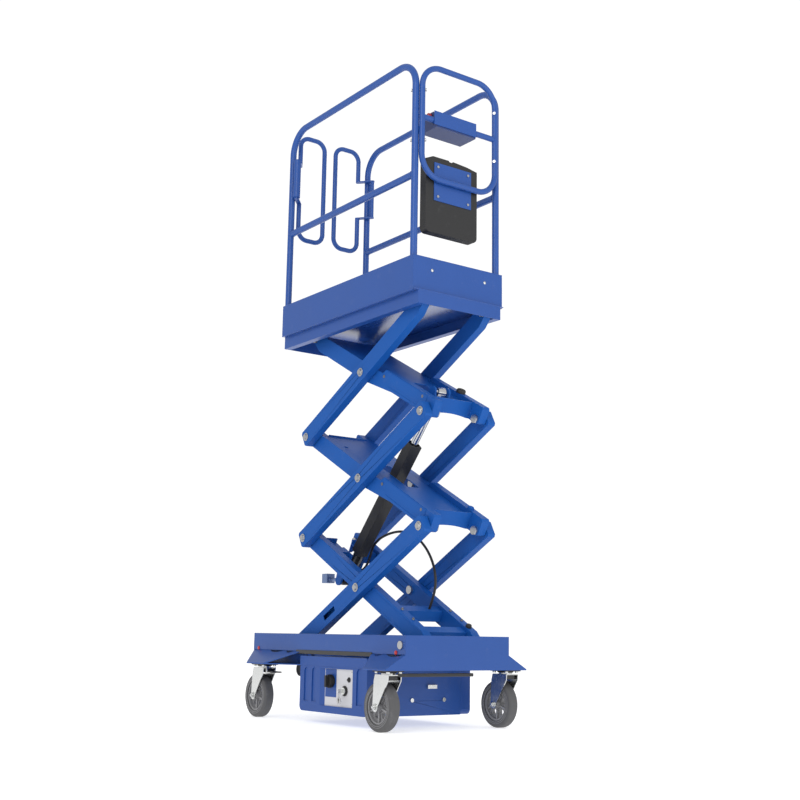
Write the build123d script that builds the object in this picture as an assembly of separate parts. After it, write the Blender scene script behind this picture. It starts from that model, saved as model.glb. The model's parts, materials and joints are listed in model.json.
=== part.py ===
from build123d import *
import math
import os

# Push-around scissor work platform.
# Frame: +X is the end with the control box, +Y the left-hand side, +Z up.
# The origin is on the floor under the middle of the part. All sizes are in millimetres.

os.makedirs("parts", exist_ok=True)

# ---------------------------------------------------------------- clearances
GAP = 0.3            # between pieces that lie next to each other
RUN_FIT = 0.05       # radial, a shaft in its bore

# ---------------------------------------------------------------- scissor stack
ARM_LENGTH = 1050.0      # between the end pins of an arm
REST_ANGLE = 28.0        # of the arms above level
ARM_HEIGHT = 80.0
ARM_WIDTH = 40.0
ARM_WALL = 4.0
ARM_END = 28.0           # past the end pin
ARM_CHAMFER = 8.0
ARM_CAP = 11.0           # solid end of the box tube, at the end pins
TIP_END = 20.0           # past the pin, at the ends that turn close under a plate
TIP_HALF = 12.0          # half height of such a tip
TIP_TAPER = 55.0         # from the pin back to the full height
INNER_ARM_Y = 112.0      # inside face of the inner arms
ARM_RAISE = 24.0         # of the front part of the middle and top inner arms
RAISE_END = 410.0        # where the raised part ends, from the front pin
RAISE_SLOPE = 20.0
RAISE_FULL = 300.0       # from here to the front pin the lower edge is raised too
ARM_SPACE = 3.0          # between inner and outer arm
FRONT_PIVOT_X = 588.0
BASE_PIVOT_Z = 349.0
BOSS_RADIUS = 20.0
PIN_RADIUS = 12.5
COLLAR_RADIUS = 18.0
NUT_RADIUS = 19.0
NUT_HEIGHT = 11.7
HEAD_RADIUS = 14.0
HEAD_HEIGHT = 9.7
HEAD_DOME = 3.0

# ---------------------------------------------------------------- chassis
CHASSIS_BACK, CHASSIS_FRONT = -627.7, 622.5
CHASSIS_WIDTH = 556.0
BEAM_BOTTOM = 310.0
BEAM_TOP = 389.0
BEAM_FLANGE = 70.0
BEAM_WALL = 5.0
END_PLATE = 5.0
WING_Y = 379.0           # outer edge of the wings
WING_BOTTOM = 247.0
WING_PLATE = 5.0
WING_INNER_Y = 240.0
FRONT_WING_BACK = 378.0      # where the front wing starts on the beam
FRONT_WING_TIP = 463.0       # and at its outer edge
REAR_WING_FRONT = -187.0     # where the rear wing ends on the beam
REAR_WING_TIP_FRONT = -359.0
REAR_WING_TIP_BACK = -513.0
SMILE_DEPTH = 9.0
PIVOT_LUG = 8.0
PIVOT_LUG_BACK = 25.0
PIVOT_LUG_SIDE = 2.0         # from the outside of the outer arm line to the lug
BEAM_PIN_HEAD = 17.0
BEAM_PIN_HEAD_HEIGHT = 6.0

# ---------------------------------------------------------------- power box
BOX_BACK = -183.0
BOX_FRONT = 355.0
BOX_BOTTOM = 48.0
BOX_TOP = 290.0
BOX_WALL = 3.0
COVER_Y = 283.0
COVER_DEPTH = 58.0
COVER_WALL = 8.0
COVER_CORNER = 24.0
PANEL_BACK = -14.0
PANEL_FRONT = 246.0
PANEL_BOTTOM = 79.0
PANEL_TOP = 239.0
PANEL_THICK = 2.0
FLUTE_DEPTH = 4.5
FLUTE_BOTTOM = 92.0
FLUTE_TOP = 222.0
KNOB_X, KNOB_Z, KNOB_RADIUS, KNOB_HEIGHT = 74.0, 186.0, 27.0, 22.0
KEY_X, KEY_Z, KEY_RADIUS, KEY_HEIGHT = 180.0, 148.0, 15.0, 12.0
END_BOLT_Z = 114.0
END_BOLT_Y = (-45.0, 130.0)
LATCH_Y, LATCH_Z, LATCH_WIDTH, LATCH_HEIGHT = 60.0, 170.0, 50.0, 16.0
BATTERY_LENGTH, BATTERY_WIDTH, BATTERY_HEIGHT = 200.0, 170.0, 190.0
MOTOR_RADIUS, MOTOR_LENGTH = 42.0, 110.0
TANK_LENGTH, TANK_WIDTH, TANK_HEIGHT = 150.0, 110.0, 120.0

# ---------------------------------------------------------------- casters
FRONT_CASTER_X = 556.0
REAR_CASTER_X = -450.0
CASTER_Y = 315.0
CASTER_TRAIL = 42.0
WHEEL_RADIUS = 100.0
WHEEL_WIDTH = 50.0
HUB_RADIUS = 70.0
HUB_BARREL = 20.0
HUB_WIDTH = 58.0
HUB_WEB = 14.0
AXLE_RADIUS = 6.0
CASTER_PLATE_X, CASTER_PLATE_Y, CASTER_PLATE = 105.0, 85.0, 5.0
RACE_RADIUS = 32.0
RACE_HEIGHT = 6.0
HEAD_RACE_RADIUS = 30.0
HEAD_RACE_HEIGHT = 5.0
KINGPIN_RADIUS = 7.0
CROWN_THICK = 4.0
CROWN_HALF = 46.0
FORK_LEG = 4.0
FORK_SIDE = 1.5              # between the hub and a fork leg
FORK_BOSS = 19.0
FORK_CHEEK = 26.0            # upright part of a fork leg below the crown
PEDAL_LENGTH = 62.0

# ---------------------------------------------------------------- lift cylinder
LOWER_EYE_U, LOWER_EYE_V = 878.0, -133.4     # in the bottom inner frame, from its front pin
UPPER_EYE_U, UPPER_EYE_V = 158.0, 55.0       # in the top inner frame, from its front pin
EYE_RADIUS = 22.0
EYE_HALF_WIDTH = 20.0
EYE_PIN_RADIUS = 10.0
EYE_PIN_HALF = 34.0
BARREL_RADIUS = 25.0
BARREL_BORE = 21.3
BARREL_FOOT = 40.0           # solid foot from the lower eye
BARREL_MOUTH = 255.0         # from the middle of the cylinder towards the rod
GLAND_LENGTH = 40.0
ROD_RADIUS = 17.5
ROD_INNER = -200.0
PISTON_LENGTH = 25.0
SLEEVE_SIDE = 57.0
SLEEVE_BORE = 52.0
SLEEVE_BACK = -375.0
SLEEVE_FRONT = 263.0
SLEEVE_RING = 20.0
LUG_Y = 34.5
LUG_THICK = 9.5
LUG_RADIUS = 24.0
VALVE_X, VALVE_Z, VALVE_SIDE = -405.0, 657.5, 45.0
FITTING_RADIUS = 9.0
HOSE_RADIUS = 5.8
HOSE_Y = 52.0
HOSE_START_X, HOSE_START_Z = -232.0, 690.0
HOSE_GLAND_RADIUS, HOSE_GLAND_DEPTH = 8.0, 26.0
HOSE_TUBE_U = 286.0          # cross tube that the hose ends at
HOSE_LAST_RUN = 40.0

# ---------------------------------------------------------------- rollers
BASE_ROLLER_WIDTH = 30.0
BASE_ROLLER_SIDE = 6.0       # from the beam's flange edge to the roller
TOP_ROLLER_WIDTH = 26.0
TOP_ROLLER_Y = 200.0

# ---------------------------------------------------------------- platform
DECK_UNDER_PIVOT = 34.2      # from the platform pivots up to the deck's underside
DECK_THICK = 4.0
TREAD_RISE = 1.5             # the deck plate's raised middle, between the posts' feet
TREAD_EDGE = 2.0
SKIRT_BACK, SKIRT_FRONT = -510.0, 618.0
SKIRT_Y = 233.5
SKIRT_DROP = 60.0
SKIRT_WALL = 3.5
TRACK_INNER_Y = 198.0
TOE_BACK, TOE_FRONT = -503.0, 604.3
TOE_Y = 254.0
TOE_THICK = 2.5
TOE_BOTTOM, TOE_TOP = 1861.0, 2019.5
RAIL_RADIUS = 16.0
TUBE_WALL = 2.0
TOP_RAIL_Z = 2950.0
MID_RAIL_Z = 2402.0
RAIL_BEND = 120.0
POST_FOOT_INNER = 28.0       # from a post's axis to the inner edge of its foot
FRONT_POST_X = 580.0
REAR_POST_X = -484.0
LOOP_RADIUS = 13.5
LOOP_X = 600.0
LOOP_TOP, LOOP_BOTTOM, LOOP_BAR = 2930.0, 2395.0, 2673.0
LOOP_BEND = 105.0
GATE_X = -500.0
GATE_RADIUS = 12.0
GATE_OUTER_Y, GATE_INNER_Y = 183.0, 35.0
GATE_TOP, GATE_BOTTOM = 2958.0, 2396.0
GATE_BEND = 52.0
GATE_BREAK_TOP, GATE_BREAK_BOTTOM = 2790.0, 2590.0
GATE_BRACKET = 6.0
HINGE_OFFSET = 45.0          # from the post to the gate's hinge, along the platform
HINGE_PIN = 6.0
WIDE_SLEEVE = 18.0
THIN_SLEEVE = 10.0

CONSOLE_BACK, CONSOLE_Y0, CONSOLE_Y1 = 500.0, -140.0, 87.0
CONSOLE_BOTTOM, CONSOLE_TOP = 2640.0, 2722.0
CONSOLE_PLATE_Y0, CONSOLE_PLATE_Y1 = -155.0, 88.0
CONSOLE_PLATE_Z0, CONSOLE_PLATE_Z1 = 2648.0, 2713.0
SHEET = 3.0
DOC_Y0, DOC_Y1, DOC_Z0, DOC_Z1, DOC_DEPTH = -175.0, 120.0, 2150.0, 2480.0, 42.0
DOC_LID = 30.0
DOC_WALL = 3.0
DOC_PLATE_Y0, DOC_PLATE_Y1, DOC_PLATE_Z0, DOC_PLATE_Z1 = -130.0, 83.0, 2302.0, 2482.0

# ---------------------------------------------------------------- derived places
ANGLE = math.radians(REST_ANGLE)
STAGE_RISE = ARM_LENGTH * math.sin(ANGLE)
REAR_PIVOT_X = FRONT_PIVOT_X - ARM_LENGTH * math.cos(ANGLE)
INNER_OUT_Y = INNER_ARM_Y + ARM_WIDTH
OUTER_ARM_Y = INNER_OUT_Y + ARM_SPACE
OUTER_OUT_Y = OUTER_ARM_Y + ARM_WIDTH
HALF_WIDTH = CHASSIS_WIDTH / 2
FLANGE_Y = HALF_WIDTH - BEAM_FLANGE
TOP_PIVOT_Z = BASE_PIVOT_Z + 3 * STAGE_RISE
DECK_Z = TOP_PIVOT_Z + DECK_UNDER_PIVOT
DECK_TOP = DECK_Z + DECK_THICK
SKIRT_BOTTOM = DECK_Z - SKIRT_DROP
TRACK_TOP = SKIRT_BOTTOM + SKIRT_WALL
POST_Y = TOE_Y - TOE_THICK - RAIL_RADIUS - GAP
CASTER_TOP = WING_BOTTOM


# ---------------------------------------------------------------- helpers
def block(x0, x1, y0, y1, z0, z1):
    centre = Pos((x0 + x1) / 2, (y0 + y1) / 2, (z0 + z1) / 2)
    return centre * Box(abs(x1 - x0), abs(y1 - y0), abs(z1 - z0))


def rod(axis, a, b, radius, start, end):
    """A round bar along an axis; a and b are its two other coordinates, in order."""
    middle = (start + end) / 2
    bar = Cylinder(radius, abs(end - start))
    if axis == "x":
        return Pos(middle, a, b) * Rot(0, 90, 0) * bar
    if axis == "y":
        return Pos(a, middle, b) * Rot(90, 0, 0) * bar
    return Pos(a, b, middle) * bar


def prism(axis, points, start, end):
    """A flat outline, given by its two other coordinates in order, stretched along an axis."""
    low, high = min(start, end), max(start, end)
    if axis == "x":
        corners = [(low, a, b) for a, b in points]
        along = (1, 0, 0)
    elif axis == "y":
        corners = [(a, low, b) for a, b in points]
        along = (0, 1, 0)
    else:
        corners = [(a, b, low) for a, b in points]
        along = (0, 0, 1)
    return extrude(make_face(Polyline(*corners, close=True)), amount=high - low, dir=along)


def swept(points, bends, radius):
    path = FilletPolyline(*points, radius=bends)
    start = Plane(origin=path @ 0, z_dir=path % 0)
    return sweep(start * Circle(radius), path=path)


def mirrored(shape):
    return mirror(shape, about=Plane.XZ)


def both(shape):
    return [shape, mirrored(shape)]


def save(name, shapes):
    solids = [solid for shape in shapes for solid in shape.solids()]
    export_step(Compound(solids), f"parts/{name}.step")


def front_pin(level):
    return FRONT_PIVOT_X, BASE_PIVOT_Z + level * STAGE_RISE


def rear_pin(level):
    return REAR_PIVOT_X, BASE_PIVOT_Z + level * STAGE_RISE


def mid_pin(stage):
    middle = BASE_PIVOT_Z + (stage + 0.5) * STAGE_RISE
    return (FRONT_PIVOT_X + REAR_PIVOT_X) / 2, middle


def inner_frame(stage):
    """Place of an inner frame: its own -X runs up to the rear from its front pin."""
    x, z = front_pin(stage)
    return Pos(x, 0, z) * Rot(0, REST_ANGLE, 0)


def outer_frame(stage):
    """Place of an outer frame: its own -X runs down to the rear from its front pin."""
    x, z = front_pin(stage + 1)
    return Pos(x, 0, z) * Rot(0, -REST_ANGLE, 0)


# ---------------------------------------------------------------- scissor arms
def arm_outline(front_tip, rear_tip, raised):
    half = ARM_HEIGHT / 2
    if raised:
        near, low = ARM_END - ARM_CHAMFER, half - ARM_CHAMFER
        front = [(-RAISE_END, half), (RAISE_SLOPE - RAISE_END, half + ARM_RAISE), (near, half + ARM_RAISE)]
        front += [(ARM_END, low + ARM_RAISE), (ARM_END, -low + ARM_RAISE), (near, -half + ARM_RAISE)]
        front += [(-RAISE_FULL, -half + ARM_RAISE), (-ARM_LENGTH / 2, -half)]
    elif front_tip:
        front = [(-TIP_TAPER, half), (TIP_END, TIP_HALF), (TIP_END, -TIP_HALF), (-TIP_TAPER, -half)]
    else:
        near = ARM_END - ARM_CHAMFER
        low = half - ARM_CHAMFER
        front = [(near, half), (ARM_END, low), (ARM_END, -low), (near, -half)]
    if rear_tip:
        rear = [(-TIP_TAPER, half), (TIP_END, TIP_HALF), (TIP_END, -TIP_HALF), (-TIP_TAPER, -half)]
    else:
        near = ARM_END - ARM_CHAMFER
        low = half - ARM_CHAMFER
        rear = [(near, half), (ARM_END, low), (ARM_END, -low), (near, -half)]
    back = [(-ARM_LENGTH - x, z) for x, z in reversed(rear)]
    return front + back


def arm(y0, front_tip=False, rear_tip=False, raised=False):
    """One arm in its own frame: box tube, closed ends, three welded bosses."""
    y1 = y0 + ARM_WIDTH
    inside = ARM_HEIGHT / 2 - ARM_WALL
    body = prism("y", arm_outline(front_tip, rear_tip, raised), y0, y1)
    front_end = -TIP_TAPER if front_tip else ARM_END - ARM_CAP
    rear_end = (TIP_TAPER if rear_tip else ARM_CAP - ARM_END) - ARM_LENGTH
    if raised:
        middle, step = -ARM_LENGTH / 2, RAISE_SLOPE - RAISE_END + ARM_WALL
        hollows = [
            (rear_end, middle, -inside, inside),
            (middle - 1, step + 1, -inside + ARM_RAISE / 2, inside),
            (step, front_end, -inside + ARM_RAISE, inside + ARM_RAISE),
        ]
    else:
        hollows = [(rear_end, front_end, -inside, inside)]
    for x0, x1, z0, z1 in hollows:
        body -= block(x0, x1, y0 + ARM_WALL, y1 - ARM_WALL, z0, z1)
    for x, solid_end in ((0, front_tip), (-ARM_LENGTH / 2, False), (-ARM_LENGTH, rear_tip)):
        if not solid_end:
            body += rod("y", x, 0, BOSS_RADIUS, y0, y1)
        body -= rod("y", x, 0, PIN_RADIUS + RUN_FIT, y0 - 1, y1 + 1)
    return body


STAGES = ("bottom", "middle", "top")
SLOT_NEAR, SLOT_FAR, SLOT_HALF = 717.0, 815.0, 12.0

for stage, name in enumerate(STAGES):
    inner = arm(INNER_ARM_Y, front_tip=stage == 0, rear_tip=stage == 2, raised=stage > 0)
    save(f"inner_arms_{name}", [inner_frame(stage) * piece for piece in both(inner)])
    outer = arm(OUTER_ARM_Y, front_tip=stage == 2)
    if stage == 0:
        outer -= block(
            -SLOT_FAR, -SLOT_NEAR, OUTER_OUT_Y - 2 * ARM_WALL, OUTER_OUT_Y + 1,
            -SLOT_HALF, SLOT_HALF,
        )
    save(f"outer_arms_{name}", [outer_frame(stage) * piece for piece in both(outer)])


# ---------------------------------------------------------------- cross members of the inner frames
CROSS_TUBE = 50.0
CROSS_WALL = 4.0
SHEET_V, SHEET_THICK = 36.0, 4.0         # underside of the sheets, above the middle line
SLOT_MIDDLE = (365.0, 620.0)             # slots that the cylinder swings in
SLOT_TOP = (80.0, 325.0)
SLOT_SIDE = 34.5
SHEET_HOLE = (835.0, -94.0, 11.0)
PLATE_THICK = 6.0
ARCH_RISE = 10.0
FRONT_PLATE_U = 52.0
REAR_PLATE_U = 985.0
STUB_HALF = 26.0


def cross_tube(u, v, y0, y1, height=CROSS_TUBE, depth=CROSS_TUBE):
    tube = block(-u - depth / 2, -u + depth / 2, y0, y1, v - height / 2, v + height / 2)
    bore = block(
        -u - depth / 2 + CROSS_WALL, -u + depth / 2 - CROSS_WALL, y0, y1,
        v - height / 2 + CROSS_WALL, v + height / 2 - CROSS_WALL,
    )
    return tube - bore


def arched_plate(u, v0, v1, y0, y1, rise):
    """Plate standing across the frame, with an edge that arches up by rise at its middle."""
    middle = (y0 + y1) / 2
    half = (y1 - y0) / 2 - 14
    radius = (half ** 2 + rise ** 2) / (2 * rise)
    plate = block(-u - PLATE_THICK / 2, -u + PLATE_THICK / 2, y0, y1, v0, v1)
    arch = rod("x", middle, v0 + rise - radius, radius, -u - PLATE_THICK, -u + PLATE_THICK)
    return plate - arch


def lug(u, v, root_v, y0, y1, root_half):
    """Plate that carries a cylinder eye: round at the eye, wide at its root."""
    side = LUG_RADIUS * 0.94
    outline = [(-u - root_half, root_v), (-u - side, v), (-u + side, v), (-u + root_half, root_v)]
    plate = prism("y", outline, y0, y1) + rod("y", -u, v, LUG_RADIUS, y0, y1)
    return plate


# bottom frame: a cross tube, side stubs with the lower eye's lugs, arched side plates at the rear
bottom_cross = [
    cross_tube(HOSE_TUBE_U, 0, -INNER_ARM_Y, INNER_ARM_Y),
    cross_tube(95, 0, -INNER_ARM_Y, INNER_ARM_Y),
]
lower_lug = lug(LOWER_EYE_U, LOWER_EYE_V, 20, LUG_Y, LUG_Y + LUG_THICK, 45)
lower_lug += block(
    -LOWER_EYE_U - STUB_HALF, -LOWER_EYE_U + STUB_HALF, LUG_Y + LUG_THICK, INNER_ARM_Y,
    -STUB_HALF, STUB_HALF,
)
lower_lug += arched_plate(REAR_PLATE_U, -30, 36, LUG_Y + LUG_THICK, INNER_ARM_Y, 8)
lower_lug += block(
    -REAR_PLATE_U, -LOWER_EYE_U, LUG_Y + LUG_THICK, INNER_ARM_Y, 10, 16,
)
bottom_cross += both(lower_lug)
hose_gland = rod(
    "x", HOSE_Y, HOSE_START_Z, HOSE_GLAND_RADIUS, HOSE_START_X - HOSE_GLAND_DEPTH, HOSE_START_X,
)
save("inner_cross_bottom", [inner_frame(0) * piece for piece in bottom_cross] + [hose_gland])

def slotted_sheet(slot):
    """Plate from the front to the rear cross plate, level with the arms, with the cylinder's slot."""
    sheet = block(
        -REAR_PLATE_U, -FRONT_PLATE_U, -INNER_ARM_Y, INNER_ARM_Y, SHEET_V, SHEET_V + SHEET_THICK,
    )
    near, far = slot
    return sheet - block(-far, -near, -SLOT_SIDE, SLOT_SIDE, SHEET_V - 1, SHEET_V + SHEET_THICK + 1)


def front_plate():
    high = ARM_HEIGHT / 2 + ARM_RAISE - ARM_WALL
    return arched_plate(FRONT_PLATE_U, ARM_RAISE - ARM_HEIGHT / 2, high, -INNER_ARM_Y, INNER_ARM_Y, ARCH_RISE)


def rear_plate():
    low = ARM_WALL - ARM_HEIGHT / 2
    return arched_plate(REAR_PLATE_U, low, ARM_HEIGHT / 2 + 6, -INNER_ARM_Y, INNER_ARM_Y, ARCH_RISE)


# middle frame: sheet, front and rear plate
u, y, radius = SHEET_HOLE
middle_cross = front_plate() + slotted_sheet(SLOT_MIDDLE) + rear_plate()
middle_cross -= rod("z", -u, y, radius, SHEET_V - 1, SHEET_V + SHEET_THICK + 1)
save("inner_cross_middle", [inner_frame(1) * middle_cross])

# top frame: the same, with the upper eye's lugs beside the slot
upper_lug = lug(UPPER_EYE_U, UPPER_EYE_V, 0, LUG_Y, LUG_Y + LUG_THICK, 60)
top_cross = front_plate() + slotted_sheet(SLOT_TOP) + upper_lug + mirrored(upper_lug)
top_cross = [top_cross, cross_tube(900, 0, -INNER_ARM_Y, INNER_ARM_Y)]
save("inner_cross_top", [inner_frame(2) * piece for piece in top_cross])


# ---------------------------------------------------------------- pivot pins
def pivot_pin(x, z):
    """Pin through an inner and an outer arm: nut inside, collar between, domed head outside."""
    nut_y = INNER_ARM_Y - GAP - NUT_HEIGHT
    head_y = OUTER_OUT_Y + GAP
    pin = rod("y", x, z, PIN_RADIUS, nut_y, head_y + HEAD_HEIGHT)
    pin += rod("y", x, z, NUT_RADIUS, nut_y, nut_y + NUT_HEIGHT)
    pin += rod("y", x, z, COLLAR_RADIUS, INNER_OUT_Y + GAP, OUTER_ARM_Y - GAP)
    head = rod("y", x, z, HEAD_RADIUS, head_y, head_y + HEAD_HEIGHT)
    crown = head.faces().sort_by(Axis.Y)[-1]
    head = fillet(crown.edges(), HEAD_DOME * 2)
    return pin + head


pins_of = {
    "bottom": [mid_pin(0), rear_pin(1)],
    "middle": [mid_pin(1), rear_pin(2), front_pin(1)],
    "top": [mid_pin(2), front_pin(2)],
}
for name, places in pins_of.items():
    pins = []
    for x, z in places:
        pins += both(pivot_pin(x, z))
    save(f"pivot_pins_{name}", pins)


# ---------------------------------------------------------------- rollers
roller_bottom = BEAM_BOTTOM + BEAM_WALL
base_radius = BASE_PIVOT_Z - roller_bottom - GAP
base_y = FLANGE_Y + BASE_ROLLER_SIDE
x, z = rear_pin(0)
base_roller = rod("y", x, z, PIN_RADIUS, OUTER_ARM_Y - 5, base_y + BASE_ROLLER_WIDTH)
base_roller += rod("y", x, z, base_radius, base_y, base_y + BASE_ROLLER_WIDTH)
save("base_rollers", both(base_roller))

x, z = rear_pin(3)
top_radius = z - (TRACK_TOP + GAP)
top_roller = rod("y", x, z, PIN_RADIUS, INNER_ARM_Y - 4, TOP_ROLLER_Y + TOP_ROLLER_WIDTH)
top_roller += rod("y", x, z, top_radius, TOP_ROLLER_Y, TOP_ROLLER_Y + TOP_ROLLER_WIDTH)
save("platform_rollers", both(top_roller))


# ---------------------------------------------------------------- chassis
front_edge = CHASSIS_FRONT - END_PLATE
rear_edge = CHASSIS_BACK + END_PLATE


def side_beam():
    beam = block(rear_edge, front_edge, FLANGE_Y, HALF_WIDTH, BEAM_BOTTOM, BEAM_TOP)
    beam -= block(
        CHASSIS_BACK, CHASSIS_FRONT, FLANGE_Y - 1, HALF_WIDTH - BEAM_WALL,
        BEAM_BOTTOM + BEAM_WALL, BEAM_TOP - BEAM_WALL,
    )
    bore = PIN_RADIUS + RUN_FIT
    beam -= rod("y", FRONT_PIVOT_X, BASE_PIVOT_Z, bore, HALF_WIDTH - 2 * BEAM_WALL, HALF_WIDTH + 1)
    return beam


save("side_beams", both(side_beam()))

wing_top = WING_BOTTOM + WING_PLATE


def smile(x0, x1, top):
    half = (x1 - x0) / 2
    radius = (half ** 2 + SMILE_DEPTH ** 2) / (2 * SMILE_DEPTH)
    return rod("y", (x0 + x1) / 2, top - SMILE_DEPTH + radius, radius, HALF_WIDTH - 5, HALF_WIDTH + 30)


def wing(beam_x0, beam_x1, tip_x0, tip_x1, smiles):
    """Folded wing on one side: sloped web from the beam to the outer edge, flat plate under it."""
    slope = prism(
        "x",
        [
            (HALF_WIDTH - BEAM_WALL, BEAM_BOTTOM),
            (HALF_WIDTH, BEAM_BOTTOM),
            (WING_Y, wing_top),
            (WING_Y - 2 * WING_PLATE, wing_top),
        ],
        beam_x0, beam_x1,
    )
    plan = [(beam_x0, WING_INNER_Y), (beam_x1, WING_INNER_Y), (beam_x1, HALF_WIDTH)]
    plan += [(tip_x1, WING_Y), (tip_x0, WING_Y), (beam_x0, HALF_WIDTH)]
    corners = []
    for corner in plan:
        if corner not in corners:
            corners.append(corner)
    outline = prism("z", corners, WING_BOTTOM, BEAM_BOTTOM)
    flat = prism("z", corners, WING_BOTTOM, wing_top)
    web = slope & outline
    for x0, x1 in smiles:
        web -= smile(x0, x1, BEAM_BOTTOM)
    hanger = block(beam_x0, beam_x1, WING_INNER_Y, WING_INNER_Y + WING_PLATE, wing_top, BEAM_BOTTOM)
    return web + flat + hanger


front_wing = wing(FRONT_WING_BACK, front_edge, FRONT_WING_TIP, front_edge, [(400, 460), (485, 608)])
rear_wing = wing(
    rear_edge, REAR_WING_FRONT, REAR_WING_TIP_BACK, REAR_WING_TIP_FRONT,
    [(-470, -345), (-320, -245)],
)
flare = [(-HALF_WIDTH, BEAM_TOP), (HALF_WIDTH, BEAM_TOP), (HALF_WIDTH, BEAM_BOTTOM)]
flare += [(WING_Y, wing_top), (WING_Y, WING_BOTTOM), (-WING_Y, WING_BOTTOM), (-WING_Y, wing_top)]
flare += [(-HALF_WIDTH, BEAM_BOTTOM)]
front_end = prism("x", flare, front_edge, CHASSIS_FRONT)
rear_end = block(CHASSIS_BACK, rear_edge, -HALF_WIDTH, HALF_WIDTH, WING_BOTTOM, BEAM_TOP)

lug_y = OUTER_ARM_Y + PIVOT_LUG_SIDE
pivot_lug = block(
    FRONT_PIVOT_X - PIVOT_LUG_BACK, front_edge, lug_y, lug_y + PIVOT_LUG,
    BEAM_BOTTOM + BEAM_WALL, BASE_PIVOT_Z + 31,
)
pivot_lug -= rod("y", FRONT_PIVOT_X, BASE_PIVOT_Z, PIN_RADIUS + RUN_FIT, lug_y - 1, lug_y + PIVOT_LUG + 1)
front_end += front_wing + mirrored(front_wing) + pivot_lug + mirrored(pivot_lug)
rear_end += rear_wing + mirrored(rear_wing)
save("chassis_ends", [front_end, rear_end])

base_nut_y = INNER_ARM_Y - GAP - NUT_HEIGHT
base_pin = rod("y", FRONT_PIVOT_X, BASE_PIVOT_Z, PIN_RADIUS, base_nut_y, HALF_WIDTH + BEAM_PIN_HEAD_HEIGHT)
base_pin += rod("y", FRONT_PIVOT_X, BASE_PIVOT_Z, NUT_RADIUS, base_nut_y, base_nut_y + NUT_HEIGHT)
base_pin += rod("y", FRONT_PIVOT_X, BASE_PIVOT_Z, COLLAR_RADIUS, INNER_OUT_Y + GAP, lug_y)
base_pin += rod(
    "y", FRONT_PIVOT_X, BASE_PIVOT_Z, BEAM_PIN_HEAD, HALF_WIDTH, HALF_WIDTH + BEAM_PIN_HEAD_HEIGHT,
)
save("base_pivot_pins", both(base_pin))

# ---------------------------------------------------------------- power box
TRAY_Y = COVER_Y - COVER_DEPTH
tray = block(BOX_BACK, BOX_FRONT, -TRAY_Y, TRAY_Y, BOX_BOTTOM, BOX_TOP)
tray -= block(
    BOX_BACK + BOX_WALL, BOX_FRONT - BOX_WALL, -TRAY_Y - 1, TRAY_Y + 1,
    BOX_BOTTOM + BOX_WALL, BOX_TOP + 1,
)
for end in (BOX_BACK, BOX_FRONT - BOX_WALL):
    for side in (1, -1):
        tray += block(end, end + BOX_WALL, side * FLANGE_Y, side * TRAY_Y, BOX_TOP, BEAM_BOTTOM)
for y in END_BOLT_Y:
    tray -= rod("x", y, END_BOLT_Z, 4 + RUN_FIT, BOX_FRONT - 2 * BOX_WALL, BOX_FRONT + 1)
save("box_tray", [tray])


def side_cover(recess):
    """Moulded cover of the box's long side, with flutes, a raised top band and a panel recess."""
    outer = block(BOX_BACK, BOX_FRONT, TRAY_Y, COVER_Y, BOX_BOTTOM, BOX_TOP)
    corners = outer.edges().filter_by(Axis.Y).group_by(Axis.Z)[0]
    outer = fillet(corners, COVER_CORNER)
    inner = block(
        BOX_BACK + COVER_WALL, BOX_FRONT - COVER_WALL, TRAY_Y - 1, COVER_Y - COVER_WALL,
        BOX_BOTTOM + COVER_WALL, BOX_TOP - COVER_WALL,
    )
    cover = outer - inner
    lip = BOX_TOP - 42
    cover -= block(BOX_BACK - 1, BOX_FRONT + 1, COVER_Y - 2, COVER_Y + 1, BOX_BOTTOM - 1, lip)
    cover -= block(PANEL_BACK, PANEL_FRONT, COVER_Y - recess, COVER_Y + 1, PANEL_BOTTOM, PANEL_TOP)
    for x0, x1 in ((-148, -112), (-82, -46), (276, 322)):
        radius = (x1 - x0) / 2
        middle = (x0 + x1) / 2
        flute = block(x0, x1, COVER_Y - 2 - FLUTE_DEPTH, COVER_Y + 1, FLUTE_BOTTOM, FLUTE_TOP)
        flute += rod("y", middle, FLUTE_TOP, radius, COVER_Y - 2 - FLUTE_DEPTH, COVER_Y + 1)
        cover -= flute
    return cover


save("box_covers", [mirrored(side_cover(2 * COVER_WALL)), side_cover(COVER_WALL / 2 + 1)])

panel_y = -(COVER_Y - COVER_WALL)
panel = block(
    PANEL_BACK - 6, PANEL_FRONT + 6, panel_y, panel_y + PANEL_THICK, PANEL_BOTTOM - 6, PANEL_TOP + 6,
)
panel -= rod("y", KNOB_X, KNOB_Z, 6 + RUN_FIT, panel_y - 1, panel_y + PANEL_THICK + 1)
panel -= rod("y", KEY_X, KEY_Z, 6 + RUN_FIT, panel_y - 1, panel_y + PANEL_THICK + 1)
save("panel_plate", [panel])

knob = rod("y", KNOB_X, KNOB_Z, KNOB_RADIUS, panel_y - KNOB_HEIGHT, panel_y - GAP)
knob += rod("y", KNOB_X, KNOB_Z, 6, panel_y - GAP, panel_y + 12)
knob_face = panel_y - KNOB_HEIGHT
knob += block(KNOB_X - 6, KNOB_X + 6, knob_face - 14, knob_face, KNOB_Z - 25, KNOB_Z + 25)
save("isolator_knob", [knob])
key = rod("y", KEY_X, KEY_Z, KEY_RADIUS, panel_y - KEY_HEIGHT, panel_y - GAP)
key += rod("y", KEY_X, KEY_Z, 6, panel_y - GAP, panel_y + 12)
key += block(KEY_X - 1.5, KEY_X + 1.5, panel_y - KEY_HEIGHT - 24, panel_y - KEY_HEIGHT, KEY_Z - 9, KEY_Z + 9)
save("key_switch", [key])

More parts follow.
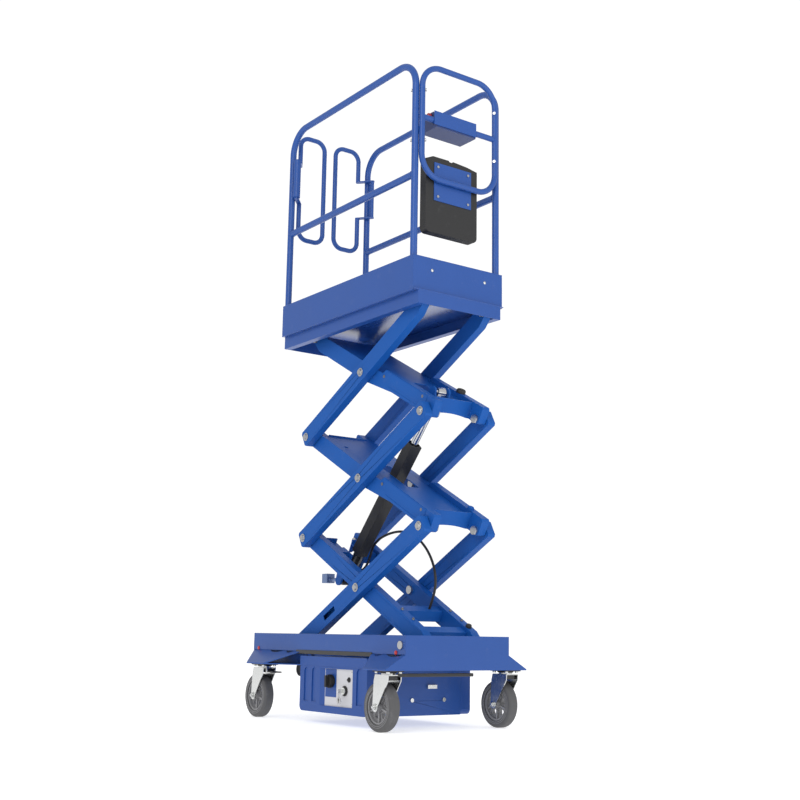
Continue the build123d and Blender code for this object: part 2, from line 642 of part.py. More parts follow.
floor = BOX_BOTTOM + BOX_WALL
batteries = []
for y in (-100, 100):
    x0 = BOX_BACK + BOX_WALL + 12
    case = block(
        x0, x0 + BATTERY_LENGTH, y - BATTERY_WIDTH / 2, y + BATTERY_WIDTH / 2, floor, floor + BATTERY_HEIGHT,
    )
    for offset in (-50, 50):
        case += rod("z", x0 + 30, y + offset, 8, floor + BATTERY_HEIGHT, floor + BATTERY_HEIGHT + 14)
    batteries.append(case)
save("batteries", batteries)

unit_x = BOX_BACK + BOX_WALL + 12 + BATTERY_LENGTH + 40
tank = block(unit_x, unit_x + TANK_LENGTH, -20, -20 + TANK_WIDTH, floor, floor + TANK_HEIGHT)
pump = block(unit_x + TANK_LENGTH / 2 - 40, unit_x + TANK_LENGTH / 2 + 40, -110, -20, floor, floor + 90)
motor = rod("y", unit_x + TANK_LENGTH / 2, floor + MOTOR_RADIUS, MOTOR_RADIUS, -110 - MOTOR_LENGTH, -110)
save("hydraulic_unit", [tank + pump + motor])
charger = block(unit_x, unit_x + 140, 110, 200, floor, floor + 60)
for k in range(6):
    charger += block(unit_x + 8 + 22 * k, unit_x + 14 + 22 * k, 110, 200, floor + 60, floor + 72)
save("battery_charger", [charger])


# ---------------------------------------------------------------- casters
race_bottom = CASTER_TOP - CASTER_PLATE - RACE_HEIGHT
head_top = race_bottom - GAP
crown_top = head_top - HEAD_RACE_HEIGHT
leg_y = HUB_WIDTH / 2 + FORK_SIDE


def caster_plate(x, y):
    plate = block(
        x - CASTER_PLATE_X / 2, x + CASTER_PLATE_X / 2, y - CASTER_PLATE_Y / 2, y + CASTER_PLATE_Y / 2,
        CASTER_TOP - CASTER_PLATE, CASTER_TOP,
    )
    plate += rod("z", x, y, RACE_RADIUS, race_bottom, CASTER_TOP - CASTER_PLATE)
    plate += rod("z", x, y, KINGPIN_RADIUS, crown_top - CROWN_THICK - 6, race_bottom)
    return plate


def fork(x, y):
    """Swivel head, crown and two legs, with the wheel's axle bolt."""
    ax, az = x - CASTER_TRAIL, WHEEL_RADIUS
    width = leg_y + FORK_LEG
    head = rod("z", x, y, HEAD_RACE_RADIUS, crown_top, head_top)
    head += block(x - CROWN_HALF, x + CROWN_HALF, y - width, y + width, crown_top - CROWN_THICK, crown_top)
    head -= rod("z", x, y, KINGPIN_RADIUS + RUN_FIT, crown_top - 20, head_top + 1)
    outline = [(x - CROWN_HALF, crown_top), (x + CROWN_HALF, crown_top)]
    outline += [(x + CROWN_HALF - 2, crown_top - FORK_CHEEK), (ax + FORK_BOSS * 0.97, az + 4)]
    outline += [(ax - FORK_BOSS * 0.97, az - 4), (x - CROWN_HALF - 8, crown_top - FORK_CHEEK)]
    for side in (1, -1):
        y0, y1 = y + side * leg_y, y + side * width
        leg = prism("y", outline, y0, y1) + rod("y", ax, az, FORK_BOSS, y0, y1)
        head += leg
    head -= rod("y", ax, az, AXLE_RADIUS + RUN_FIT, y - width - 1, y + width + 1)
    bolt = rod("y", ax, az, AXLE_RADIUS, y - width, y + width)
    bolt += rod("y", ax, az, 10, y - width - 7, y - width)
    bolt += rod("y", ax, az, 10, y + width, y + width + 7)
    return [head, bolt]


def tyre(x, y):
    ax, az = x - CASTER_TRAIL, WHEEL_RADIUS
    ring = rod("y", ax, az, WHEEL_RADIUS, y - WHEEL_WIDTH / 2, y + WHEEL_WIDTH / 2)
    ring = fillet(ring.edges(), 12)
    return ring - rod("y", ax, az, HUB_RADIUS, y - WHEEL_WIDTH, y + WHEEL_WIDTH)


def hub(x, y):
    ax, az = x - CASTER_TRAIL, WHEEL_RADIUS
    rim = rod("y", ax, az, HUB_RADIUS - RUN_FIT, y - WHEEL_WIDTH / 2 + 4, y + WHEEL_WIDTH / 2 - 4)
    rim -= rod("y", ax, az, HUB_RADIUS - 8, y - WHEEL_WIDTH, y + WHEEL_WIDTH)
    rim += rod("y", ax, az, HUB_RADIUS - 7, y - HUB_WEB / 2, y + HUB_WEB / 2)
    rim += rod("y", ax, az, HUB_BARREL, y - HUB_WIDTH / 2, y + HUB_WIDTH / 2)
    for k in range(5):
        turn = math.radians(72 * k + 90)
        hole_x, hole_z = ax + 41 * math.cos(turn), az + 41 * math.sin(turn)
        rim -= rod("y", hole_x, hole_z, 13, y - HUB_WEB, y + HUB_WEB)
    return rim - rod("y", ax, az, AXLE_RADIUS + RUN_FIT, y - HUB_WIDTH, y + HUB_WIDTH)


def pedal(x, y):
    """Brake pedal on the fork's open side: pivot barrel, lever and tread."""
    px, pz = x + CROWN_HALF + 9, crown_top - 14
    lever = rod("y", px, pz, 7, y - 20, y + 20)
    lever += block(px, px + PEDAL_LENGTH - 20, y - 14, y + 14, pz - 6, pz - 2)
    lever += block(px + PEDAL_LENGTH - 26, px + PEDAL_LENGTH, y - 24, y + 24, pz - 9, pz - 3)
    return lever - rod("y", px, pz, 4 + RUN_FIT, y - 30, y + 30)


def pedal_mount(x, y):
    px, pz = x + CROWN_HALF + 9, crown_top - 14
    mount = rod("y", px, pz, 4, y - 20.3, y + 20.3)
    for side in (1, -1):
        y0, y1 = y + side * 20.3, y + side * 24.3
        ear = [(x + CROWN_HALF - 4, crown_top), (px + 6, crown_top), (px + 8, pz), (px, pz - 8)]
        ear += [(x + CROWN_HALF - 4, crown_top - 14)]
        mount += prism("y", ear, y0, y1)
    return mount


places = {
    "front_left": (FRONT_CASTER_X, CASTER_Y),
    "front_right": (FRONT_CASTER_X, -CASTER_Y),
    "rear_left": (REAR_CASTER_X, CASTER_Y),
    "rear_right": (REAR_CASTER_X, -CASTER_Y),
}
save("caster_plates", [caster_plate(x, y) for x, y in places.values()])
for name, (x, y) in places.items():
    fork_solids = fork(x, y)
    if name.startswith("rear"):
        fork_solids[0] += pedal_mount(x, y)
        save(f"brake_pedal_{name}", [pedal(x, y)])
    save(f"fork_{name}", fork_solids)
    save(f"tyre_{name}", [tyre(x, y)])
    save(f"hub_{name}", [hub(x, y)])

bolts = []
for x, y in places.values():
    for dx in (-40, 40):
        for dy in (-30, 30):
            plate_bottom = CASTER_TOP - CASTER_PLATE
            bolts.append(rod("z", x + dx, y + dy, 8, plate_bottom - 7, plate_bottom))
for y in END_BOLT_Y:
    bolt = rod("x", y, END_BOLT_Z, 4, BOX_FRONT - 8, BOX_FRONT)
    bolts.append(bolt + rod("x", y, END_BOLT_Z, 9, BOX_FRONT, BOX_FRONT + 6))
latch = block(
    BOX_FRONT, BOX_FRONT + 12, LATCH_Y - LATCH_WIDTH / 2, LATCH_Y + LATCH_WIDTH / 2,
    LATCH_Z - LATCH_HEIGHT / 2, LATCH_Z + LATCH_HEIGHT / 2,
)
bolts.append(latch)
save("chassis_bolts", bolts)

# ---------------------------------------------------------------- lift cylinder
lower_eye = inner_frame(0) * Pos(-LOWER_EYE_U, 0, LOWER_EYE_V)
upper_eye = inner_frame(2) * Pos(-UPPER_EYE_U, 0, UPPER_EYE_V)
eye_a, eye_b = lower_eye.position, upper_eye.position
centre = (eye_a + eye_b) * 0.5
half_stroke = (eye_b - eye_a).length / 2
tilt = math.degrees(math.atan2(eye_b.Z - eye_a.Z, eye_b.X - eye_a.X))
CYLINDER = Pos(centre.X, 0, centre.Z) * Rot(0, -tilt, 0)


def eye(x):
    """Round eye at one end of the cylinder, with its cross pin."""
    head = rod("y", x, 0, EYE_RADIUS, -EYE_HALF_WIDTH, EYE_HALF_WIDTH)
    return head + rod("y", x, 0, EYE_PIN_RADIUS, -EYE_PIN_HALF, EYE_PIN_HALF)


foot = BARREL_FOOT - half_stroke
barrel = rod("x", 0, 0, BARREL_RADIUS, foot - BARREL_FOOT + 12, BARREL_MOUTH)
barrel -= rod("x", 0, 0, BARREL_BORE, foot, BARREL_MOUTH - GLAND_LENGTH)
barrel -= rod("x", 0, 0, ROD_RADIUS + RUN_FIT, foot, BARREL_MOUTH + 1)
barrel += eye(-half_stroke)
save("cylinder_barrel", [CYLINDER * barrel])

ram = rod("x", 0, 0, ROD_RADIUS, ROD_INNER, half_stroke - 10)
ram += rod("x", 0, 0, BARREL_BORE - RUN_FIT, ROD_INNER, ROD_INNER + PISTON_LENGTH)
ram += eye(half_stroke)
save("cylinder_rod", [CYLINDER * ram])

side = SLEEVE_SIDE / 2
bore = SLEEVE_BORE / 2
sleeve = block(SLEEVE_BACK, SLEEVE_FRONT, -side, side, -side, side)
sleeve -= block(SLEEVE_BACK + SLEEVE_RING, SLEEVE_FRONT - SLEEVE_RING, -bore, bore, -bore, bore)
sleeve -= rod("x", 0, 0, BARREL_RADIUS + RUN_FIT, SLEEVE_BACK - 1, SLEEVE_FRONT + 1)
save("cylinder_cover", [CYLINDER * sleeve])

half = VALVE_SIDE / 2
valve = block(VALVE_X - half, VALVE_X + half, -half, half, VALVE_Z - half, VALVE_Z + half)
fitting_end = eye_a.X - EYE_RADIUS - GAP
valve += rod("x", 0, VALVE_Z - 8, FITTING_RADIUS, VALVE_X + half, fitting_end)
valve += rod("x", 0, VALVE_Z - 8, FITTING_RADIUS + 4, VALVE_X + half, VALVE_X + half + 14)
valve += rod("x", 0, VALVE_Z - 8, FITTING_RADIUS + 3, fitting_end - 22, fitting_end - 6)
save("valve_block", [valve])


hose_route = [
    (HOSE_START_X, HOSE_START_Z), (-190, HOSE_START_Z), (-150, 713), (-122, 755), (-104, 797), (-68, 828),
    (-16, 846), (44, 858), (104, 862), (162, 857), (217, 841), (268, 815), (312, 781), (349, 740),
    (377, 692), (391, 640), (388, 588),
]
for height in (HOSE_LAST_RUN, GAP):
    place = inner_frame(0) * Pos(-HOSE_TUBE_U, 0, CROSS_TUBE / 2 + height)
    hose_route.append((place.position.X, place.position.Z))


def cord_bends(points):
    """A radius for each corner: 0.45 of the shorter run over the tangent of half the turn."""
    radii = []
    for before, here, after in zip(points, points[1:], points[2:]):
        run_in, run_out = here - before, after - here
        turn = math.radians(run_in.get_angle(run_out))
        radii.append(0.45 * min(run_in.length, run_out.length) / math.tan(turn / 2))
    return radii


hose_points = [Vector(x, HOSE_Y, z) for x, z in hose_route]
hose_radii = cord_bends(hose_points)
print("hose bend radii", [round(r) for r in hose_radii])
hose_path = FilletPolyline(*hose_points, radius=hose_radii)
hose = sweep(Plane(origin=hose_path @ 0, z_dir=hose_path % 0) * Circle(HOSE_RADIUS), path=hose_path)
hose_volume = math.pi * HOSE_RADIUS ** 2 * hose_path.length
print("hose length", round(hose_path.length), "volume share", hose.volume / hose_volume)
save("lift_hose", [hose])

# ---------------------------------------------------------------- platform frame and deck
skirt = block(SKIRT_BACK, SKIRT_FRONT, -SKIRT_Y, SKIRT_Y, SKIRT_BOTTOM, DECK_Z)
skirt -= block(
    SKIRT_BACK + SKIRT_WALL, SKIRT_FRONT - SKIRT_WALL, SKIRT_WALL - SKIRT_Y, SKIRT_Y - SKIRT_WALL,
    SKIRT_BOTTOM - 1, DECK_Z + 1,
)
top_lug_y = OUTER_OUT_Y + 5
track = block(
    SKIRT_BACK + SKIRT_WALL, SKIRT_FRONT - SKIRT_WALL, TRACK_INNER_Y, SKIRT_Y - SKIRT_WALL,
    SKIRT_BOTTOM, TRACK_TOP,
)
top_lug = block(
    FRONT_PIVOT_X - PIVOT_LUG_BACK, SKIRT_FRONT - SKIRT_WALL, top_lug_y, top_lug_y + PIVOT_LUG,
    TRACK_TOP, DECK_Z,
)
bore = PIN_RADIUS + RUN_FIT
top_lug -= rod("y", FRONT_PIVOT_X, TOP_PIVOT_Z, bore, top_lug_y - 1, top_lug_y + PIVOT_LUG + 1)
track += top_lug
save("platform_frame", [skirt + track + mirrored(track)])

deck_y = TOE_Y - TOE_THICK
tread_y = POST_Y - POST_FOOT_INNER - TREAD_EDGE
deck = block(SKIRT_BACK, SKIRT_FRONT, -deck_y, deck_y, DECK_Z, DECK_TOP)
deck += block(
    TOE_BACK + TOE_THICK + TREAD_EDGE, TOE_FRONT - TOE_THICK - TREAD_EDGE,
    -tread_y, tread_y, DECK_TOP, DECK_TOP + TREAD_RISE,
)
save("platform_deck", [deck])

toe_side = block(TOE_BACK, TOE_FRONT, deck_y, TOE_Y, TOE_BOTTOM, TOE_TOP)
toe_front = block(TOE_FRONT - TOE_THICK, TOE_FRONT, -deck_y, deck_y, DECK_TOP, TOE_TOP)
toe_back = block(TOE_BACK, TOE_BACK + TOE_THICK, -deck_y, deck_y, DECK_TOP, TOE_TOP)
save("toeboards", both(toe_side) + [toe_front, toe_back])


# ---------------------------------------------------------------- guardrails and gates
def tube_frame(paths, radius):
    """Welded tubes: all the outsides together, less all the bores."""
    outside, inside = None, None
    for points, bends in paths:
        if bends is None:
            start, end = Vector(*points[0]), Vector(*points[1])
            line = Line(start, end)
            ring = Plane(origin=start, z_dir=end - start)
            solid = sweep(ring * Circle(radius), path=line)
            hollow = sweep(ring * Circle(radius - TUBE_WALL), path=line)
        else:
            solid = swept(points, bends, radius)
            hollow = swept(points, bends, radius - TUBE_WALL)
        outside = solid if outside is None else outside + solid
        inside = hollow if inside is None else inside + hollow
    return outside - inside


hinge_x = REAR_POST_X + HINGE_OFFSET
sleeve_bottom = GATE_BREAK_BOTTOM + GAP
sleeve_top = GATE_BREAK_TOP - GAP
post_foot = DECK_TOP
FOOT = 5.0

for name, side, sleeve_radius in (("left", 1, THIN_SLEEVE), ("right", -1, WIDE_SLEEVE)):
    y = side * POST_Y
    hoop = [
        (REAR_POST_X, y, post_foot + FOOT), (REAR_POST_X, y, TOP_RAIL_Z),
        (FRONT_POST_X, y, TOP_RAIL_Z), (FRONT_POST_X, y, post_foot + FOOT),
    ]
    mid = [(REAR_POST_X, y, MID_RAIL_Z), (FRONT_POST_X, y, MID_RAIL_Z)]
    rails = tube_frame([(hoop, RAIL_BEND), (mid, None)], RAIL_RADIUS)
    for x in (REAR_POST_X, FRONT_POST_X):
        inner_y, outer_y = side * (POST_Y - POST_FOOT_INNER), side * (POST_Y + RAIL_RADIUS)
        rails += block(x - RAIL_RADIUS, x + RAIL_RADIUS, inner_y, outer_y, post_foot, post_foot + FOOT)
    sleeve_tube = rod("z", hinge_x, y, sleeve_radius, sleeve_bottom, sleeve_top)
    web = block(REAR_POST_X + RAIL_RADIUS - 2, hinge_x, y - 3, y + 3, sleeve_bottom + 10, sleeve_top - 10)
    rails += web + sleeve_tube
    rails -= rod("z", hinge_x, y, HINGE_PIN + RUN_FIT, sleeve_bottom - 1, sleeve_top + 1)
    save(f"guardrail_{name}", [rails])

    outer_y, inner_y = side * GATE_OUTER_Y, side * GATE_INNER_Y
    loop = [
        (GATE_X, outer_y, GATE_BREAK_TOP), (GATE_X, outer_y, GATE_TOP), (GATE_X, inner_y, GATE_TOP),
        (GATE_X, inner_y, GATE_BOTTOM), (GATE_X, outer_y, GATE_BOTTOM), (GATE_X, outer_y, GATE_BREAK_BOTTOM),
    ]
    gate = tube_frame([(loop, GATE_BEND)], GATE_RADIUS)
    arm_x, arm_y = hinge_x - GATE_X, y - outer_y
    reach = math.hypot(arm_x, arm_y)
    across = (-arm_y / reach * GATE_RADIUS, arm_x / reach * GATE_RADIUS)
    outline = [
        (GATE_X + across[0], outer_y + across[1]), (hinge_x + across[0], y + across[1]),
        (hinge_x - across[0], y - across[1]), (GATE_X - across[0], outer_y - across[1]),
    ]
    for z0 in (GATE_BREAK_TOP, GATE_BREAK_BOTTOM - GATE_BRACKET):
        bracket = prism("z", outline, z0, z0 + GATE_BRACKET)
        bracket += rod("z", GATE_X, outer_y, GATE_RADIUS, z0, z0 + GATE_BRACKET)
        bracket += rod("z", hinge_x, y, GATE_RADIUS, z0, z0 + GATE_BRACKET)
        gate += bracket
    gate += rod("z", hinge_x, y, HINGE_PIN, GATE_BREAK_BOTTOM - GATE_BRACKET, GATE_BREAK_TOP + GATE_BRACKET)
    save(f"gate_{name}", [gate])

# ---------------------------------------------------------------- front loop, console, document box
loop_y = POST_Y - math.sqrt((RAIL_RADIUS + LOOP_RADIUS + GAP) ** 2 - (LOOP_X - FRONT_POST_X) ** 2)
half_loop = [
    (LOOP_X, 0, LOOP_BOTTOM), (LOOP_X, loop_y, LOOP_BOTTOM),
    (LOOP_X, loop_y, LOOP_TOP), (LOOP_X, 0, LOOP_TOP),
]
outside = swept(half_loop, LOOP_BEND, LOOP_RADIUS)
outside += mirrored(outside)
outside += rod("y", LOOP_X, LOOP_BAR, LOOP_RADIUS, -loop_y, loop_y)
hollow = swept(half_loop, LOOP_BEND, LOOP_RADIUS - TUBE_WALL)
front_loop = outside - hollow - mirrored(hollow)
front_loop -= rod("y", LOOP_X, LOOP_BAR, LOOP_RADIUS - TUBE_WALL, -loop_y, loop_y)
plate_x = LOOP_X + LOOP_RADIUS
console_plate = block(
    plate_x, plate_x + SHEET, CONSOLE_PLATE_Y0, CONSOLE_PLATE_Y1, CONSOLE_PLATE_Z0, CONSOLE_PLATE_Z1,
)
doc_face = LOOP_X - LOOP_RADIUS - SHEET
doc_plate = block(
    doc_face, doc_face + SHEET, DOC_PLATE_Y0, DOC_PLATE_Y1, DOC_PLATE_Z0, DOC_PLATE_Z1,
)
save("front_loop", [front_loop, console_plate, doc_plate])

bar_back = LOOP_X - LOOP_RADIUS - GAP
bar_under = LOOP_BAR - LOOP_RADIUS - GAP
slope_x, slope_z = CONSOLE_BACK + 40, CONSOLE_TOP - 32
console = prism(
    "y",
    [
        (CONSOLE_BACK, CONSOLE_BOTTOM), (plate_x - 1, CONSOLE_BOTTOM), (plate_x - 1, bar_under),
        (bar_back, bar_under), (bar_back, CONSOLE_TOP), (slope_x, CONSOLE_TOP), (CONSOLE_BACK, slope_z),
    ],
    CONSOLE_Y0, CONSOLE_Y1,
)
console -= block(
    CONSOLE_BACK + SHEET, bar_back - SHEET, CONSOLE_Y0 + SHEET, CONSOLE_Y1 - SHEET,
    CONSOLE_BOTTOM + SHEET, slope_z - SHEET,
)
ESTOP_X, ESTOP_Z, ESTOP_RADIUS, ESTOP_STEM, ESTOP_TRAVEL = 566.0, 2704.0, 14.0, 5.0, 4.0
stem_end = CONSOLE_Y0 + 14
console -= rod("y", ESTOP_X, ESTOP_Z, ESTOP_STEM + RUN_FIT, CONSOLE_Y0 - 1, stem_end + ESTOP_TRAVEL + 1)
lever_x, lever_z = (CONSOLE_BACK + slope_x) / 2, (slope_z + CONSOLE_TOP) / 2
LEVER_Y, LEVER_LENGTH, LEVER_RADIUS, EAR_HALF, EAR_THICK = -30.0, 42.0, 4.0, 7.0, 4.0
pivot_x, pivot_z = lever_x - 7, lever_z + 9
for y0 in (LEVER_Y - EAR_HALF - EAR_THICK, LEVER_Y + EAR_HALF):
    ear = prism(
        "y",
        [
            (lever_x - 10, lever_z - 8), (lever_x + 10, lever_z + 8),
            (pivot_x + 5, pivot_z + 4), (pivot_x - 5, pivot_z),
        ],
        y0, y0 + EAR_THICK,
    )
    console += ear
console += rod("y", pivot_x, pivot_z, 2.5, LEVER_Y - EAR_HALF - EAR_THICK, LEVER_Y + EAR_HALF + EAR_THICK)
save("control_box", [console])

lever = rod("y", pivot_x, pivot_z, 4.5, LEVER_Y - EAR_HALF + GAP, LEVER_Y + EAR_HALF - GAP)
handle = Pos(0, 0, LEVER_LENGTH / 2) * Cylinder(LEVER_RADIUS - 1, LEVER_LENGTH)
handle += Pos(0, 0, LEVER_LENGTH) * Cylinder(2 * LEVER_RADIUS, 14)
lever += Pos(pivot_x, LEVER_Y, pivot_z) * Rot(0, -38, 0) * handle
lever -= rod("y", pivot_x, pivot_z, 2.5 + RUN_FIT, LEVER_Y - 2 * EAR_HALF, LEVER_Y + 2 * EAR_HALF)
save("lift_lever", [lever])

estop = rod("y", ESTOP_X, ESTOP_Z, ESTOP_STEM, CONSOLE_Y0 - ESTOP_TRAVEL - GAP, stem_end)
cap_y = CONSOLE_Y0 - ESTOP_TRAVEL - GAP
cap = rod("y", ESTOP_X, ESTOP_Z, ESTOP_RADIUS, cap_y - 13, cap_y)
cap = fillet(cap.faces().sort_by(Axis.Y)[0].edges(), 5)
save("platform_estop", [estop + cap])

doc_back = doc_face - DOC_DEPTH
doc = block(doc_back, doc_face, DOC_Y0, DOC_Y1, DOC_Z0, DOC_Z1)
doc = fillet(doc.edges().filter_by(Axis.X).group_by(Axis.Z)[0], 24)
doc -= block(
    doc_back + DOC_WALL, doc_face - DOC_WALL, DOC_Y0 + DOC_WALL, DOC_Y1 - DOC_WALL,
    DOC_Z0 + 28, DOC_Z1 + 1,
)
LID_HINGE, LID_KNUCKLE = 5.0, 60.0
lid_x, lid_z = doc_back - LID_HINGE - GAP, DOC_Z1
for y0, y1 in ((DOC_Y0 + 20, DOC_Y0 + 20 + LID_KNUCKLE), (DOC_Y1 - 20 - LID_KNUCKLE, DOC_Y1 - 20)):
    doc += rod("y", lid_x, lid_z, LID_HINGE, y0, y1)
    doc += block(lid_x, doc_back + 1, y0, y1, lid_z - LID_HINGE, lid_z - 1)
doc += rod("y", lid_x, lid_z, 2, DOC_Y0 + 30, DOC_Y1 - 30)
save("document_box", [doc])

lid = prism(
    "x",
    [
        (DOC_Y0, DOC_Z1 + GAP), (DOC_Y1, DOC_Z1 + GAP), (DOC_Y1, DOC_Z1 + DOC_LID * 0.45),
        (DOC_Y1 - 60, DOC_Z1 + DOC_LID * 0.8), (-20, DOC_Z1 + DOC_LID), (-26, DOC_Z1 + DOC_LID * 0.8),
        (-40, DOC_Z1 + DOC_LID * 0.8), (-46, DOC_Z1 + DOC_LID), (DOC_Y0 + 40, DOC_Z1 + DOC_LID),
        (DOC_Y0, DOC_Z1 + DOC_LID * 0.4),
    ],
    doc_back, doc_face,
)
knuckle_y0, knuckle_y1 = DOC_Y0 + 20 + LID_KNUCKLE + GAP, DOC_Y1 - 20 - LID_KNUCKLE - GAP
lid += rod("y", lid_x, lid_z, LID_HINGE, knuckle_y0, knuckle_y1)
lid += block(lid_x, doc_back + 1, knuckle_y0, knuckle_y1, lid_z + 1, lid_z + LID_HINGE)
lid -= rod("y", lid_x, lid_z, 2 + RUN_FIT, knuckle_y0 - 1, knuckle_y1 + 1)
save("document_lid", [lid])

# ---------------------------------------------------------------- platform pins and bolts
top_pin_nut = OUTER_ARM_Y - GAP - NUT_HEIGHT
top_pin = rod("y", FRONT_PIVOT_X, TOP_PIVOT_Z, PIN_RADIUS, top_pin_nut, top_lug_y + PIVOT_LUG + 6)
top_pin += rod("y", FRONT_PIVOT_X, TOP_PIVOT_Z, NUT_RADIUS, top_pin_nut, top_pin_nut + NUT_HEIGHT)
top_pin += rod("y", FRONT_PIVOT_X, TOP_PIVOT_Z, COLLAR_RADIUS, OUTER_OUT_Y + GAP, top_lug_y)
lug_face = top_lug_y + PIVOT_LUG
top_pin += rod("y", FRONT_PIVOT_X, TOP_PIVOT_Z, COLLAR_RADIUS, lug_face, lug_face + 6)
fasteners = both(top_pin)
for y in (DOC_PLATE_Y0 + 20, DOC_PLATE_Y1 - 20):
    for z in (DOC_PLATE_Z0 + 20, DOC_PLATE_Z1 - 20):
        fasteners.append(rod("x", y, z, 6, doc_face + SHEET, doc_face + SHEET + 4))
for z in (2560.0, 2800.0):
    away = math.atan2(loop_y - POST_Y, LOOP_X - FRONT_POST_X)
    for side in (1, -1):
        turn = math.degrees(away) * side
        head = Pos(-RAIL_RADIUS - GAP - 3, 0, 0) * Rot(0, 90, 0) * Cylinder(7, 6)
        fasteners.append(Pos(FRONT_POST_X, side * POST_Y, z) * Rot(0, 0, turn) * head)
        nut = Pos(LOOP_RADIUS + GAP + 3, 0, 0) * Rot(0, 90, 0) * Cylinder(7, 6)
        fasteners.append(Pos(LOOP_X, side * loop_y, z) * Rot(0, 0, turn) * nut)
save("platform_bolts", fasteners)
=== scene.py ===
import itertools
import json
import math

import bmesh
import bpy
from mathutils import Matrix, Vector


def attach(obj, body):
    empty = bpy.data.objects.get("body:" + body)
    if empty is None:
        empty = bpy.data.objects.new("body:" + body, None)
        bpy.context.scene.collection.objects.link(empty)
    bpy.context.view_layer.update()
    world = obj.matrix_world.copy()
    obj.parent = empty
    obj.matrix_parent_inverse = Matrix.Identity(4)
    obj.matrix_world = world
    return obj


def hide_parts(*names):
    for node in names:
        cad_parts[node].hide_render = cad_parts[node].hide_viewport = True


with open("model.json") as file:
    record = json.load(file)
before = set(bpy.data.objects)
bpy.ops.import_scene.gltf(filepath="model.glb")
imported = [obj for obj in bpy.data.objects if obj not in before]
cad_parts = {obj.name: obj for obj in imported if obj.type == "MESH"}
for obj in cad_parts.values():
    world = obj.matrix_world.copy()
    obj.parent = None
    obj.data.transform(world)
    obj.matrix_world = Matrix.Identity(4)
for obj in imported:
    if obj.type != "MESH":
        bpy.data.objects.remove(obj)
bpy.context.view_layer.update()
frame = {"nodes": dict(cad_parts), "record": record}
nodes = frame["nodes"]
MM = 0.001

# ---------------------------------------------------------------- camera
CAMERA_AT = (4.6268, -3.2318, 0.3883)
AZIMUTH, PITCH, ROLL = math.radians(54.04), math.radians(11.10), math.radians(0.925)
LENS, SENSOR = 53.97, 36.0      # mm
FARTHEST = 60.0                 # m

forward = Vector((-math.sin(AZIMUTH) * math.cos(PITCH), math.cos(AZIMUTH) * math.cos(PITCH), math.sin(PITCH)))
level = Vector((math.cos(AZIMUTH), math.sin(AZIMUTH), 0))
upward = level.cross(forward)
right = level * math.cos(ROLL) + upward * math.sin(ROLL)
up = upward * math.cos(ROLL) - level * math.sin(ROLL)
camera = bpy.data.objects.new("camera", bpy.data.cameras.new("camera"))
bpy.context.scene.collection.objects.link(camera)
camera.data.lens = LENS
camera.data.sensor_width = SENSOR
camera.data.clip_end = FARTHEST
camera.matrix_world = Matrix.Translation(CAMERA_AT) @ Matrix((right, up, -forward)).transposed().to_4x4()
bpy.context.scene.camera = camera


# ---------------------------------------------------------------- materials
MIX_FACTOR, MIX_A, MIX_B, MIX_RESULT = 0, 6, 7, 2      # colour sockets of a Mix node
COAT_ROUGHNESS = 0.18
CLOUD_SCALE, SPOT_SCALE = 4.0, 17.0                    # per metre
SPOTS_FROM, SPOTS_FULL = 0.58, 0.80
ROUGH_LOW, ROUGH_HIGH = 0.85, 1.2                      # range of the roughness, as shares of it


